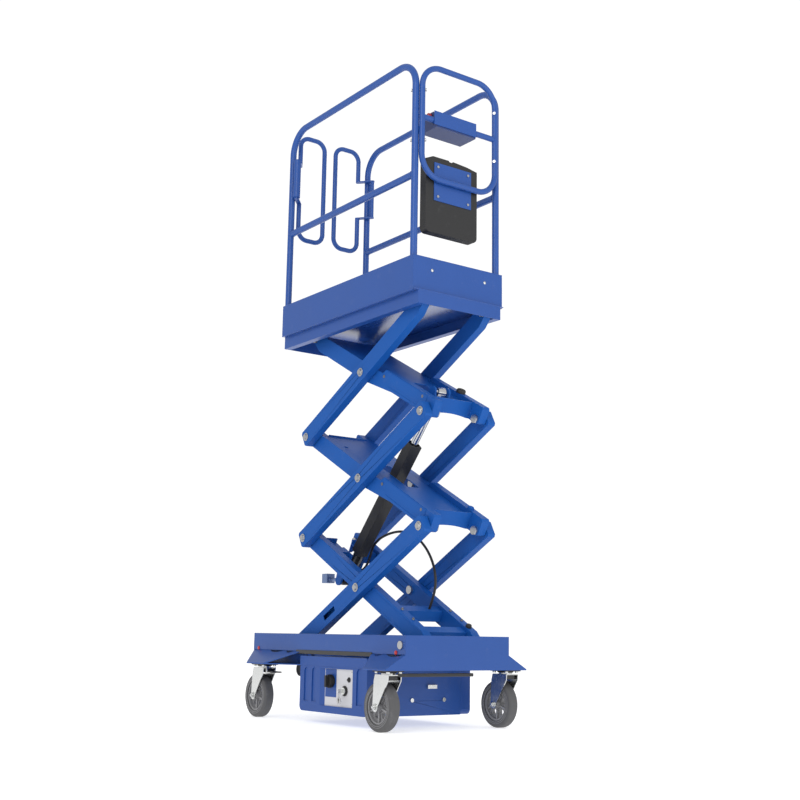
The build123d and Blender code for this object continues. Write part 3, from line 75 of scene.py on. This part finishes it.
def material(name, colour, rough, metal=0.0, vary=0.10, grain=600.0, bump=0.25, depth=0.0002,
             coat=0.0, streak=None, dust=0.0, dust_colour=(0.4, 0.4, 0.42), glow=0.0, specular=0.5):
    """Node material: cloudy colour and roughness, a fine surface grain, and faint dust or scuffs."""
    made = bpy.data.materials.new(name)
    made.use_nodes = True
    tree = made.node_tree
    shader = tree.nodes["Principled BSDF"]
    link = tree.links.new

    def add(kind, **values):
        node = tree.nodes.new(kind)
        for key, value in values.items():
            if key in node.inputs:
                node.inputs[key].default_value = value
            else:
                setattr(node, key, value)
        return node

    place = add("ShaderNodeTexCoord").outputs["Object"]
    if streak:
        stretch = add("ShaderNodeMapping")
        stretch.inputs["Scale"].default_value = streak
        link(place, stretch.inputs["Vector"])
        streaked = stretch.outputs["Vector"]
    else:
        streaked = place
    cloud = add("ShaderNodeTexNoise", Scale=CLOUD_SCALE, Detail=5.0, Roughness=0.6)
    link(place, cloud.inputs["Vector"])
    fine = add("ShaderNodeTexNoise", Scale=grain, Detail=2.0, Roughness=0.5)
    link(streaked, fine.inputs["Vector"])
    shades = add("ShaderNodeMix", data_type="RGBA")
    low = [c * (1 - vary) for c in colour]
    high = [min(1, c * (1 + vary)) for c in colour]
    shades.inputs[MIX_A].default_value = (*low, 1)
    shades.inputs[MIX_B].default_value = (*high, 1)
    link(cloud.outputs["Fac"], shades.inputs[MIX_FACTOR])
    colour_out = shades.outputs[MIX_RESULT]
    rough_range = add("ShaderNodeMapRange")
    rough_range.inputs["To Min"].default_value = rough * ROUGH_LOW
    rough_range.inputs["To Max"].default_value = min(1, rough * ROUGH_HIGH)
    link((fine if streak else cloud).outputs["Fac"], rough_range.inputs["Value"])
    rough_out = rough_range.outputs["Result"]
    if dust:
        spots = add("ShaderNodeTexNoise", Scale=SPOT_SCALE, Detail=9.0, Roughness=0.72)
        link(place, spots.inputs["Vector"])
        mask = add("ShaderNodeMapRange")
        mask.inputs["From Min"].default_value = SPOTS_FROM
        mask.inputs["From Max"].default_value = SPOTS_FULL
        mask.inputs["To Max"].default_value = dust
        link(spots.outputs["Fac"], mask.inputs["Value"])
        dusty = add("ShaderNodeMix", data_type="RGBA")
        dusty.inputs[MIX_B].default_value = (*dust_colour, 1)
        link(mask.outputs["Result"], dusty.inputs[MIX_FACTOR])
        link(colour_out, dusty.inputs[MIX_A])
        colour_out = dusty.outputs[MIX_RESULT]
        rougher = add("ShaderNodeMath", operation="ADD", use_clamp=True)
        link(rough_out, rougher.inputs[0])
        link(mask.outputs["Result"], rougher.inputs[1])
        rough_out = rougher.outputs["Value"]
    link(colour_out, shader.inputs["Base Color"])
    link(rough_out, shader.inputs["Roughness"])
    raised = add("ShaderNodeBump", Strength=bump, Distance=depth)
    link(fine.outputs["Fac"], raised.inputs["Height"])
    link(raised.outputs["Normal"], shader.inputs["Normal"])
    shader.inputs["Metallic"].default_value = metal
    if coat:
        shader.inputs["Coat Weight"].default_value = coat
        shader.inputs["Coat Roughness"].default_value = COAT_ROUGHNESS
    if glow:
        shader.inputs["Emission Color"].default_value = (1, 1, 1, 1)
        shader.inputs["Emission Strength"].default_value = glow
    shader.inputs["Specular IOR Level"].default_value = specular
    return made


PAINT = {
    "rough": 0.40, "vary": 0.08, "grain": 420.0, "bump": 0.16, "depth": 0.00025, "coat": 0.12,
    "dust": 0.08, "specular": 0.4,
}
ARM_PAINT = {**PAINT, "rough": 0.55, "coat": 0.0, "specular": 0.22}
LOOK_VALUES = {
    "chassis_blue": {"colour": (0.013, 0.073, 0.31), **PAINT},
    "arm_blue": {"colour": (0.006, 0.088, 0.37), **ARM_PAINT},
    "platform_blue": {"colour": (0.014, 0.074, 0.315), **PAINT},
    "cover_blue": {
        "colour": (0.012, 0.068, 0.30), "rough": 0.42, "vary": 0.06, "grain": 1500.0, "bump": 0.2,
        "depth": 0.0001, "dust": 0.05, "specular": 0.4,
    },
    "zinc_plate": {
        "colour": (0.66, 0.67, 0.66), "rough": 0.24, "metal": 1.0, "vary": 0.10, "grain": 260.0,
        "bump": 0.10, "streak": (1, 1, 0.15), "dust": 0.10,
    },
    "bearing_black": {"colour": (0.012, 0.012, 0.013), "rough": 0.4, "dust": 0.15, "coat": 0.2},
    "silver_head": {
        "colour": (0.50, 0.50, 0.50), "rough": 0.3, "metal": 1.0, "grain": 900.0, "bump": 0.1, "dust": 0.1,
    },
    "tyre_grey": {
        "colour": (0.085, 0.085, 0.088), "rough": 0.62, "vary": 0.12, "grain": 1200.0, "bump": 0.35,
        "depth": 0.0002, "dust": 0.25,
    },
    "hub_grey": {
        "colour": (0.24, 0.24, 0.25), "rough": 0.32, "vary": 0.1, "grain": 900.0, "bump": 0.15, "dust": 0.15,
    },
    "black_plastic": {
        "colour": (0.013, 0.013, 0.014), "rough": 0.5, "vary": 0.15, "grain": 1400.0, "bump": 0.5,
        "depth": 0.0002, "dust": 0.06,
    },
    "rod_chrome": {
        "colour": (0.62, 0.63, 0.64), "rough": 0.18, "metal": 1.0, "grain": 1500.0, "bump": 0.05,
    },
    "cylinder_black": {"colour": (0.012, 0.012, 0.013), "rough": 0.38, "dust": 0.12, "coat": 0.2},
    "valve_grey": {
        "colour": (0.17, 0.24, 0.42), "rough": 0.4, "metal": 0.6, "grain": 800.0, "bump": 0.15, "dust": 0.1,
    },
    "hose_black": {
        "colour": (0.012, 0.012, 0.013), "rough": 0.45, "vary": 0.15, "grain": 2000.0, "bump": 0.3,
        "depth": 0.0001,
    },
    "label_grey": {
        "colour": (0.60, 0.60, 0.63), "rough": 0.42, "vary": 0.05, "grain": 1800.0, "bump": 0.1,
        "dust": 0.1, "dust_colour": (0.3, 0.3, 0.31),
    },
    "estop_red": {
        "colour": (0.52, 0.012, 0.012), "rough": 0.3, "vary": 0.08, "grain": 1200.0, "bump": 0.1, "coat": 0.3,
    },
    "steel_dark": {"colour": (0.22, 0.22, 0.23), "rough": 0.4, "metal": 0.9, "grain": 500.0, "dust": 0.2},
    "unit_grey": {
        "colour": (0.022, 0.045, 0.16), "rough": 0.42, "vary": 0.15, "grain": 700.0, "bump": 0.35,
        "dust": 0.1,
    },
    "deck_gloss": {
        "colour": (0.022, 0.085, 0.34), "rough": 0.22, "vary": 0.10, "grain": 300.0, "bump": 0.08,
        "coat": 0.4, "dust": 0.12,
    },
}
LOOKS = {look: material(look, **values) for look, values in LOOK_VALUES.items()}

# ---------------------------------------------------------------- CAD nodes that stay
SLOT_OF = {part["node"]: part["material_slot"] for part in frame["record"]["subparts"]}
SHARP = math.radians(38)
WELD_WITHIN = 1e-5              # m
BEVELS = {
    "side_beams": 2.5, "chassis_ends": 1.2, "box_tray": 0.8, "box_covers": 1.6, "panel_plate": 0.4,
    "platform_deck": 1.0, "platform_frame": 1.0, "control_box": 1.2,
    "document_box": 2.0, "document_lid": 1.6, "cylinder_cover": 2.4, "valve_block": 1.0,
    "isolator_knob": 1.5, "key_switch": 0.6, "caster_plates": 0.6, "chassis_bolts": 0.8,
    "platform_bolts": 0.6, "lift_lever": 0.8, "base_rollers": 1.0, "platform_rollers": 1.0,
    "base_pivot_pins": 1.0,
}
for name in nodes:
    if name.startswith(("inner_arms", "outer_arms")):
        BEVELS[name] = 3.0
    elif name.startswith("inner_cross"):
        BEVELS[name] = 1.2
    elif name.startswith(("fork", "hub", "brake", "pivot_pins")):
        BEVELS[name] = 0.8


def smooth(obj):
    obj.data.shade_smooth()
    obj.data.set_sharp_from_angle(angle=SHARP)


def rounded(obj, width):
    """Small round on each sharp edge, with flat faces kept flat."""
    edge = obj.modifiers.new("bevel", "BEVEL")
    edge.width = width * MM
    edge.segments = 2
    edge.limit_method = "ANGLE"
    edge.angle_limit = SHARP
    flat = obj.modifiers.new("flat_faces", "WEIGHTED_NORMAL")
    flat.keep_sharp = True


OTHER_LOOK = {"platform_deck": "deck_gloss", "platform_bolts": "silver_head"}
for name, obj in nodes.items():
    obj.data.materials.clear()
    obj.data.materials.append(LOOKS[OTHER_LOOK.get(name, SLOT_OF[name])])
    smooth(obj)
    if name in BEVELS:
        weld = obj.modifiers.new("weld", "WELD")
        weld.merge_threshold = WELD_WITHIN
        rounded(obj, BEVELS[name])

# ---------------------------------------------------------------- hose
HOSE_Y, HOSE_RADIUS, HOSE_LENGTH = 52.0, 5.8, 940.0
CROSS_TUBE_ALONG = 286.0        # cross tube that the hose ends on, along the arm
LAST_RUN = (65.0, 25.3)         # heights of the hose's last two points over the arm's middle line
FRONT_PIVOT = Vector((588.0, 0, 349.0))
ARM_LENGTH, REST_ANGLE = 1050.0, math.radians(28)
STAGE_RISE = ARM_LENGTH * math.sin(REST_ANGLE)
REAR_PIVOT_X = FRONT_PIVOT.x - ARM_LENGTH * math.cos(REST_ANGLE)


def inner_point(stage, along, above, across=0.0):
    """Point of an inner frame, in mm: along the arm from its front pin, above its middle line."""
    return Vector((
        FRONT_PIVOT.x - along * math.cos(REST_ANGLE) + above * math.sin(REST_ANGLE),
        across,
        FRONT_PIVOT.z + stage * STAGE_RISE + along * math.sin(REST_ANGLE) + above * math.cos(REST_ANGLE),
    ))


route = [
    (-232, 690), (-190, 690), (-150, 713), (-122, 755), (-104, 797), (-68, 828), (-16, 846), (44, 858),
    (104, 862), (162, 857), (217, 841), (268, 815), (312, 781), (349, 740), (377, 692), (391, 640),
    (388, 588),
]
for above in LAST_RUN:
    end = inner_point(0, CROSS_TUBE_ALONG, above)
    route.append((end.x, end.z))
line = bpy.data.curves.new("hydraulic_hose", "CURVE")
line.dimensions = "3D"
spline = line.splines.new("NURBS")
spline.points.add(len(route) - 1)
for point, (x, z) in zip(spline.points, route):
    point.co = (x * MM, HOSE_Y * MM, z * MM, 1)
spline.order_u = 3
spline.use_endpoint_u = True
spline.resolution_u = 10
line.bevel_depth = HOSE_RADIUS * MM
line.bevel_resolution = 6
line.use_fill_caps = True
line.materials.append(LOOKS["hose_black"])
hose = bpy.data.objects.new("hydraulic_hose", line)
bpy.context.scene.collection.objects.link(hose)
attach(hose, "inner_bottom")
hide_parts("lift_hose")


# ---------------------------------------------------------------- mesh helpers, all in mm
def box(bm, low, high, turn=None, about=None):
    corners = [Vector(place) for place in itertools.product(*zip(low, high))]
    if turn is not None:
        corners = [turn @ (corner - Vector(about)) + Vector(about) for corner in corners]
    verts = [bm.verts.new(corner) for corner in corners]
    for face in ((0, 1, 3, 2), (4, 6, 7, 5), (0, 4, 5, 1), (2, 3, 7, 6), (0, 2, 6, 4), (1, 5, 7, 3)):
        bm.faces.new([verts[k] for k in face])


def spin_basis(axis):
    axis = Vector(axis).normalized()
    side = axis.orthogonal().normalized()
    return axis, side, axis.cross(side)


def lathe(bm, profile, at, axis, steps=32):
    """Turned shape: profile is (distance along axis, radius) pairs; a radius of 0 closes an end."""
    axis, u, v = spin_basis(axis)
    at = Vector(at)
    rings = []
    for along, radius in profile:
        centre = at + axis * along
        if radius <= 0:
            rings.append([bm.verts.new(centre)])
            continue
        rings.append([
            bm.verts.new(centre + (u * math.cos(a) + v * math.sin(a)) * radius)
            for a in (2 * math.pi * k / steps for k in range(steps))
        ])
    for one, two in zip(rings, rings[1:]):
        for k in range(steps):
            n = (k + 1) % steps
            if len(one) == 1:
                bm.faces.new((one[0], two[k], two[n]))
            elif len(two) == 1:
                bm.faces.new((one[n], one[k], two[0]))
            else:
                bm.faces.new((one[k], two[k], two[n], one[n]))


def ring(bm, at, axis, radius, thick, steps=32, ripple=0.0):
    """Closed round bead, such as a weld, round an axis."""
    axis, u, v = spin_basis(axis)
    around = 8
    rows = []
    for k in range(steps):
        a = 2 * math.pi * k / steps
        out = u * math.cos(a) + v * math.sin(a)
        size = thick * (1 + ripple * math.sin(5 * a) * math.cos(11 * a))
        rows.append([
            bm.verts.new(Vector(at) + out * (radius + size * math.cos(b)) + axis * size * math.sin(b))
            for b in (2 * math.pi * m / around for m in range(around))
        ])
    for k in range(steps):
        n = (k + 1) % steps
        for m in range(around):
            q = (m + 1) % around
            bm.faces.new((rows[k][m], rows[n][m], rows[n][q], rows[k][q]))


def bead(bm, start, end, thick, ripple=0.18, pitch=5.0):
    """Straight weld bead with its ripples, closed at both ends."""
    start, end = Vector(start), Vector(end)
    count = max(2, round((end - start).length / pitch))
    profile = [(0, 0), (0.01, thick * 0.7)]
    length = (end - start).length
    for k in range(1, count):
        profile.append((length * k / count, thick * (1 + ripple * (-1) ** k)))
    profile += [(length - 0.01, thick * 0.7), (length, 0)]
    lathe(bm, profile, start, end - start, steps=8)


def prism(bm, outline, origin, u, v, w, low, high):
    """Outline in the plane of u and v, stretched along w from low to high."""
    origin, u, v, w = Vector(origin), Vector(u), Vector(v), Vector(w)
    rows = [[bm.verts.new(origin + u * a + v * b + w * c) for a, b in outline] for c in (low, high)]
    bm.faces.new(rows[0][::-1])
    bm.faces.new(rows[1])
    count = len(outline)
    for k in range(count):
        n = (k + 1) % count
        bm.faces.new((rows[0][k], rows[0][n], rows[1][n], rows[1][k]))


def piece(name, make, look, body, bevel=0.0):
    """Builds one piece from a function that fills a bmesh, and rides it on a body."""
    bm = bmesh.new()
    make(bm)
    bmesh.ops.recalc_face_normals(bm, faces=bm.faces)
    bmesh.ops.scale(bm, vec=(MM, MM, MM), verts=bm.verts)
    mesh = bpy.data.meshes.new(name)
    bm.to_mesh(mesh)
    bm.free()
    obj = bpy.data.objects.new(name, mesh)
    bpy.context.scene.collection.objects.link(obj)
    mesh.materials.append(LOOKS[look])
    smooth(obj)
    if bevel:
        rounded(obj, bevel)
    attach(obj, body)


# ---------------------------------------------------------------- pin heads
OUTER_FACE = 195.0
WASHER = [(0.1, 13), (0.1, 19), (0.9, 20), (2.4, 20), (3.2, 19), (3.2, 13.2)]
front_pins = [Vector((FRONT_PIVOT.x, 0, FRONT_PIVOT.z + k * STAGE_RISE)) for k in range(4)]
rear_pins = [Vector((REAR_PIVOT_X, 0, FRONT_PIVOT.z + k * STAGE_RISE)) for k in range(4)]
middle_pins = [(front_pins[k] + rear_pins[k + 1]) / 2 for k in range(3)]
pins_on = {
    "inner_bottom": [middle_pins[0], rear_pins[1]],
    "inner_middle": [middle_pins[1], rear_pins[2], front_pins[1]],
    "inner_top": [middle_pins[2], front_pins[2]],
}
for body, places in pins_on.items():
    def washers(bm):
        for place in places:
            for side in (1, -1):
                lathe(bm, WASHER, place + Vector((0, side * OUTER_FACE, 0)), (0, side, 0), 40)

    piece(f"pin_washers_{body}", washers, "silver_head", body)

# ---------------------------------------------------------------- platform
TOE = {"x0": -503.0, "x1": 604.3, "y": 254.0, "z0": 1861.0, "z1": 2019.5}
POST_Y, RAIL_R, REAR_X, FRONT_X, MID_Z = 235.2, 16.0, -484.0, 580.0, 2402.0
POST_FOOT_Z = 1871.6
LOOP_AT = (600, 204.5, 2673)
TOE_BOLT_Y, TOE_BOLT_Z = 150, 1965
DOME_BOLT = [(0, 7), (1.6, 7), (3.4, 5.2), (4.4, 2.8), (4.6, 0)]


def hems(bm):
    for side in (1, -1):
        y = side * (TOE["y"] - 1.2)
        for z, radius in ((TOE["z1"] - 1.0, 2.6), (TOE["z0"] + 1.5, 2.2)):
            lathe(bm, [(0, 0), (0, radius), (TOE["x1"] - TOE["x0"], radius), (TOE["x1"] - TOE["x0"], 0)],
                  (TOE["x0"], y, z), (1, 0, 0), 12)
    for x in (TOE["x0"] + 1.2, TOE["x1"] - 1.2):
        lathe(bm, [(0, 0), (0, 2.6), (2 * TOE["y"] - 2, 2.6), (2 * TOE["y"] - 2, 0)],
              (x, 1 - TOE["y"], TOE["z1"] - 1.0), (0, 1, 0), 12)


piece("toeboard_hems", hems, "platform_blue", "platform")


def toe_welds(bm):
    for side in (1, -1):
        for x in (TOE["x0"] + 1, TOE["x1"] - 1):
            y = side * (TOE["y"] - 1)
            bead(bm, (x, y, TOE["z0"] + 7), (x, y, TOE["z1"] - 5.5), 1.8, pitch=4)


piece("toeboard_corner_welds", toe_welds, "platform_blue", "platform")


def rail_welds(bm):
    for side in (1, -1):
        for x, turn in ((REAR_X, 1), (FRONT_X, -1)):
            ring(bm, (x + turn * 14.5, side * POST_Y, MID_Z), (1, 0, 0), RAIL_R - 0.4, 2.3, 40, 0.25)
            ring(bm, (x, side * POST_Y, POST_FOOT_Z), (0, 0, 1), RAIL_R, 2.4, 32, 0.25)
        ring(bm, (LOOP_AT[0], side * LOOP_AT[1], LOOP_AT[2]), (0, 1, 0), 13.2, 2.0, 36, 0.25)


piece("rail_weld_beads", rail_welds, "platform_blue", "platform")


def toe_bolts(bm):
    for y in (-TOE_BOLT_Y, TOE_BOLT_Y):
        lathe(bm, DOME_BOLT, (TOE["x1"], y, TOE_BOLT_Z), (1, 0, 0), 24)


piece("toeboard_bolts", toe_bolts, "zinc_plate", "platform")

# ---------------------------------------------------------------- power box
PANEL_Y = -275.0
PATCH_X, PATCH_Z = (24.0, 112.0), (118.0, 238.0)
KNOB_AT, KEY_AT, BUTTON_AT = (74, 186), (180, 148), (212, 196)      # x and z on the panel
KNOB_RIBS = 24
PANEL_FRAME_Z = (79.2, 238.8)


def patch(bm):
    box(bm, (PATCH_X[0], PANEL_Y - 0.9, PATCH_Z[0]), (PATCH_X[1], PANEL_Y - 0.05, PATCH_Z[1]))


piece("panel_patch", patch, "cover_blue", "chassis", 0.4)


def surround(bm):
    outline = [(-14, 0), (20, 0), (-14, -6)]
    prism(bm, outline, (0, PANEL_Y, 0), (1, 0, 0), (0, 1, 0), (0, 0, 1), *PANEL_FRAME_Z)


piece("panel_surround", surround, "cover_blue", "chassis")


def knob_ribs(bm):
    x, z = KNOB_AT
    for k in range(KNOB_RIBS):
        turn = Matrix.Rotation(2 * math.pi * k / KNOB_RIBS, 3, "Y")
        box(bm, (x - 1, PANEL_Y - 20, z + 26), (x + 1, PANEL_Y - 3, z + 28.6), turn, (x, 0, z))


piece("knob_ribs", knob_ribs, "black_plastic", "isolator", 0.4)


def key_parts(bm):
    at = (KEY_AT[0], PANEL_Y - 0.3, KEY_AT[1])
    lathe(bm, [(0, 15.2), (0, 21), (2, 22), (5, 21), (6, 16)], at, (0, -1, 0), 36)


piece("key_bezel", key_parts, "black_plastic", "chassis")


def key_ring(bm):
    """Ring below the lock with two keys on it: each a blade and a wider grip, turned a little."""
    ring(bm, (KEY_AT[0], PANEL_Y - 30, KEY_AT[1] - 16), (0.3, 1, 0), 12, 1.1, 36)
    hang_y, top = PANEL_Y - 32, KEY_AT[1] - 26
    for turn, x in ((0.16, KEY_AT[0] - 2), (-0.22, KEY_AT[0] + 4)):
        spin, about = Matrix.Rotation(turn, 3, "Y"), (x, 0, top)
        box(bm, (x - 4, hang_y - 1, top - 30), (x + 4, hang_y + 1, top), spin, about)
        box(bm, (x - 9, hang_y - 1.4, top - 22), (x + 9, hang_y + 1.4, top - 4), spin, about)


piece("hanging_keys", key_ring, "silver_head", "key", 0.5)


def panel_screws(bm):
    for x, z in ((232, 92), (232, 226), (2, 92), (2, 226)):
        lathe(bm, [(0, 4.5), (1.2, 4.5), (2.2, 3), (2.4, 0)], (x, PANEL_Y, z), (0, -1, 0), 20)


piece("panel_screws", panel_screws, "zinc_plate", "chassis")


def button(bm):
    at = (BUTTON_AT[0], PANEL_Y, BUTTON_AT[1])
    lathe(bm, [(0, 11), (3, 11), (4.5, 9), (4.5, 6)], at, (0, -1, 0), 32)
    lathe(bm, [(4, 6.5), (8, 6.0), (11, 3.4), (12, 0)], at, (0, -1, 0), 32)


piece("panel_button", button, "black_plastic", "chassis")

# ---------------------------------------------------------------- chassis
BEAM_SIDE = 278
REFLECTOR_Z = 318
REFLECTOR = [(0.1, 9), (2.5, 9), (3.6, 7.5), (4.2, 4), (4.4, 0)]
BUZZER = [(-24, 0), (-24, 30), (0, 31), (3, 29), (3, 22), (-2, 20), (-2, 0)]


def reflectors(bm):
    for x in (-578, 556):
        for side in (1, -1):
            lathe(bm, REFLECTOR, (x, side * BEAM_SIDE, REFLECTOR_Z), (0, side, 0), 32)


piece("beam_reflectors", reflectors, "estop_red", "chassis")


def front_bar(bm):
    box(bm, (592, -300, 222), (604, 95, 236))


piece("front_under_bar", front_bar, "bearing_black", "chassis", 2.0)


# Painted shade: black strips along the beams' sides that stand for the shadow in the slot between each beam
# and the box cover top.
def gap_shade_strips(bm):
    for side in (1, -1):
        y0, y1 = sorted((side * 276.2, side * 282.0))
        box(bm, (-226, y0, 298), (386, y1, 316))


piece("beam_gap_shade_strips", gap_shade_strips, "bearing_black", "chassis", 2.0)
piece(
    "warning_buzzer", lambda bm: lathe(bm, BUZZER, (-218, -262, 228), (0, -1, 0), 40),
    "black_plastic", "chassis", 1.0,
)

# ---------------------------------------------------------------- rubber stops on the inner arms
RAISE, RAISE_END = 24.0, 410.0          # front part of the middle and top inner arms
ARM_TOP, STOP_Y = 40, 128
UP_FROM_ARM = Vector((0.47, 0, 0.88))


def bumper(bm, at, axis, radius=13.0, height=16.0):
    lathe(bm, [(0, 0), (0, radius), (height * 0.6, radius), (height * 0.9, radius * 0.8),
               (height, radius * 0.5), (height, 0)], at, axis, 28)


def bottom_stops(bm):
    bumper(bm, inner_point(0, 240, -ARM_TOP, -118), -UP_FROM_ARM)
    bumper(bm, inner_point(0, 90, ARM_TOP, STOP_Y), UP_FROM_ARM)


def middle_stop(bm):
    bumper(bm, inner_point(1, 90, ARM_TOP + RAISE, STOP_Y), UP_FROM_ARM, 15, 12)


def top_stop(bm):
    bumper(bm, inner_point(2, 175, ARM_TOP + RAISE, STOP_Y), UP_FROM_ARM, 22, 20)


piece("stop_bumpers_bottom", bottom_stops, "black_plastic", "inner_bottom")
piece("stop_bumper_middle", middle_stop, "arm_blue", "inner_middle")
piece("stop_bumper_top", top_stop, "black_plastic", "inner_top")


# ---------------------------------------------------------------- doubler strips and studs on the inner arms
def strip(bm, stage, along, above, y0, y1):
    """Flat strip on an inner arm's side: its ends along the arm, and its edges above the middle line."""
    outline = [(along[0], above[0]), (along[1], above[0]), (along[1], above[1]), (along[0], above[1])]
    rows = [[bm.verts.new(inner_point(stage, a, b, y)) for a, b in outline] for y in (y0, y1)]
    bm.faces.new(rows[0])
    bm.faces.new(rows[1][::-1])
    for k in range(4):
        n = (k + 1) % 4
        bm.faces.new((rows[0][k], rows[0][n], rows[1][n], rows[1][k]))


ARM_SIDE = 152.0
for stage, body in ((1, "inner_middle"), (2, "inner_top")):
    def doublers(bm):
        for side in (1, -1):
            face = side * ARM_SIDE
            strip(bm, stage, (36, RAISE_END - 30), (14, 36 + RAISE), face, face + side * 1.8)
            strip(bm, stage, (70, RAISE_END - 60), (RAISE - 37, RAISE - 26), face, face + side * 1.8)

    piece(f"arm_doublers_{body}", doublers, "arm_blue", body, 0.5)

    def arm_bolts(bm):
        for side in (1, -1):
            for along, above in ((70, 47), (392, 30)):
                at = inner_point(stage, along, above, side * ARM_SIDE)
                lathe(bm, [(0, 8), (2.2, 8), (2.6, 7), (2.6, 0)], at, (0, side, 0), 6)

    piece(f"arm_bolts_{body}", arm_bolts, "steel_dark", body, 0.3)


def grease_studs(bm):
    for along in (150, 240):
        for side in (1, -1):
            at = inner_point(0, along, ARM_TOP - 6, side * 132)
            lathe(bm, [(0, 7), (9, 7), (11, 5), (14, 5), (15, 3.5), (15, 0)], at, UP_FROM_ARM, 6)


piece("grease_studs", grease_studs, "steel_dark", "inner_bottom", 0.3)


def arm_seams(bm):
    for side in (1, -1):
        for above in (-27.0, 27.0):
            faces = side * ARM_SIDE, side * (ARM_SIDE + 1.2)
            strip(bm, 0, (70, 480), (above - 1.5, above + 1.5), *faces)


piece("arm_seams", arm_seams, "arm_blue", "inner_bottom", 0.4)

# ---------------------------------------------------------------- casters
CASTERS = {
    "front_left": (556, 315), "front_right": (556, -315),
    "rear_left": (-450, 315), "rear_right": (-450, -315),
}
TRAIL, WHEEL_Z = 42.0, 100.0
SPOKES = 5
RACE_Z = 236.6
# heights of the black block between the fork legs: partly the brake block, partly painted shade of the fork's
# inside
BRAKE_AND_SHADE_Z = (208, 226)
RACE = [(0, 32.1), (0, 34), (1.5, 35.5), (3.5, 35.5), (5, 34), (5, 32.1)]
for key, (x, y) in CASTERS.items():
    ax = x - TRAIL

    def axle(bm):
        for side in (1, -1):
            at = (ax, y + side * 34.6, WHEEL_Z)
            lathe(bm, [(0.1, 15), (1.6, 15), (1.8, 10.5)], at, (0, side, 0), 32)
            lathe(bm, [(1.5, 10.8), (8.2, 10.8), (9.6, 9.2), (9.6, 0)], at, (0, side, 0), 6)
            lathe(bm, [(9.4, 5.6), (14, 5.6), (14.8, 4.6), (14.8, 0)], at, (0, side, 0), 20)

    piece(f"axle_nuts_{key}", axle, "zinc_plate", f"swivel_{key}", 0.4)

    def ribs(bm):
        for side in (1, -1):
            for radius, out in ((76, 25.0), (83, 24.4)):
                ring(bm, (ax, y + side * out, WHEEL_Z), (0, 1, 0), radius, 1.2, 72)
            lathe(bm, [(0, 21), (24, 21), (27, 19), (27, 13)], (ax, y, WHEEL_Z), (0, side, 0), 36)
            for k in range(SPOKES):
                turn = 2 * math.pi * (k + 0.5) / SPOKES + math.pi / 2
                spin = Matrix.Rotation(-turn, 3, "Y")
                box(bm, (ax + 19, y + side * 7, WHEEL_Z - 4), (ax + 63, y + side * 15, WHEEL_Z + 4),
                    spin, (ax, 0, WHEEL_Z))

    piece(f"wheel_ribs_{key}", ribs, "hub_grey", f"wheel_{key}", 0.8)

    def race(bm):
        lathe(bm, RACE, (x, y, RACE_Z), (0, 0, 1), 40)

    piece(f"race_seal_{key}", race, "bearing_black", "chassis")

    # Black block between the fork legs: partly the caster's brake block, partly painted shade standing for
    # the shadowed inside of the fork.
    def brake_and_shade(bm):
        box(bm, (x - 34, y - 24, BRAKE_AND_SHADE_Z[0]), (x + 34, y + 24, BRAKE_AND_SHADE_Z[1]))
        lathe(bm, [(0, 12), (14, 12), (16, 9), (16, 0)], (x, y, BRAKE_AND_SHADE_Z[1]), (0, 0, -1), 6)

    piece(f"swivel_brake_and_shade_{key}", brake_and_shade, "bearing_black", f"swivel_{key}", 2.0)

# ---------------------------------------------------------------- stage and light
HALF_FLOOR = 30.0               # m
floor_mesh = bpy.data.meshes.new("floor")
corners = [(-HALF_FLOOR, -HALF_FLOOR, 0), (HALF_FLOOR, -HALF_FLOOR, 0), (HALF_FLOOR, HALF_FLOOR, 0),
           (-HALF_FLOOR, HALF_FLOOR, 0)]
floor_mesh.from_pydata(corners, [], [(0, 1, 2, 3)])
floor = bpy.data.objects.new("floor", floor_mesh)
bpy.context.scene.collection.objects.link(floor)
floor.data.materials.append(
    material("floor_white", (0.80, 0.80, 0.80), rough=0.8, vary=0.005, bump=0.0, glow=0.55, specular=0.1))

SKY_LIGHT, SKY_SEEN = 0.72, 1.05        # strength of the sky as light, and as the camera sees it
world = bpy.data.worlds.new("studio")
bpy.context.scene.world = world
world.use_nodes = True
sky = world.node_tree.nodes["Background"]
sky.inputs["Color"].default_value = (1.0, 1.0, 1.0, 1)
seen = world.node_tree.nodes.new("ShaderNodeLightPath")
strength = world.node_tree.nodes.new("ShaderNodeMapRange")
strength.inputs["To Min"].default_value = SKY_LIGHT
strength.inputs["To Max"].default_value = SKY_SEEN
world.node_tree.links.new(seen.outputs["Is Camera Ray"], strength.inputs["Value"])
world.node_tree.links.new(strength.outputs["Result"], sky.inputs["Strength"])


def area(name, at, target, size, power):
    lamp = bpy.data.lights.new(name, "AREA")
    lamp.size = size
    lamp.energy = power
    obj = bpy.data.objects.new(name, lamp)
    bpy.context.scene.collection.objects.link(obj)
    obj.location = at
    obj.rotation_euler = (Vector(target) - Vector(at)).to_track_quat("-Z", "Y").to_euler()


area("key_light", (3.5, -5.0, 4.5), (0, 0, 1.3), 3.0, 105)
area("front_fill", (6.0, 1.0, 2.5), (0, 0, 1.4), 3.0, 60)
area("back_light", (-4.0, 3.5, 4.0), (0, 0, 1.6), 2.5, 40)
bpy.context.scene.view_settings.view_transform = "Standard"
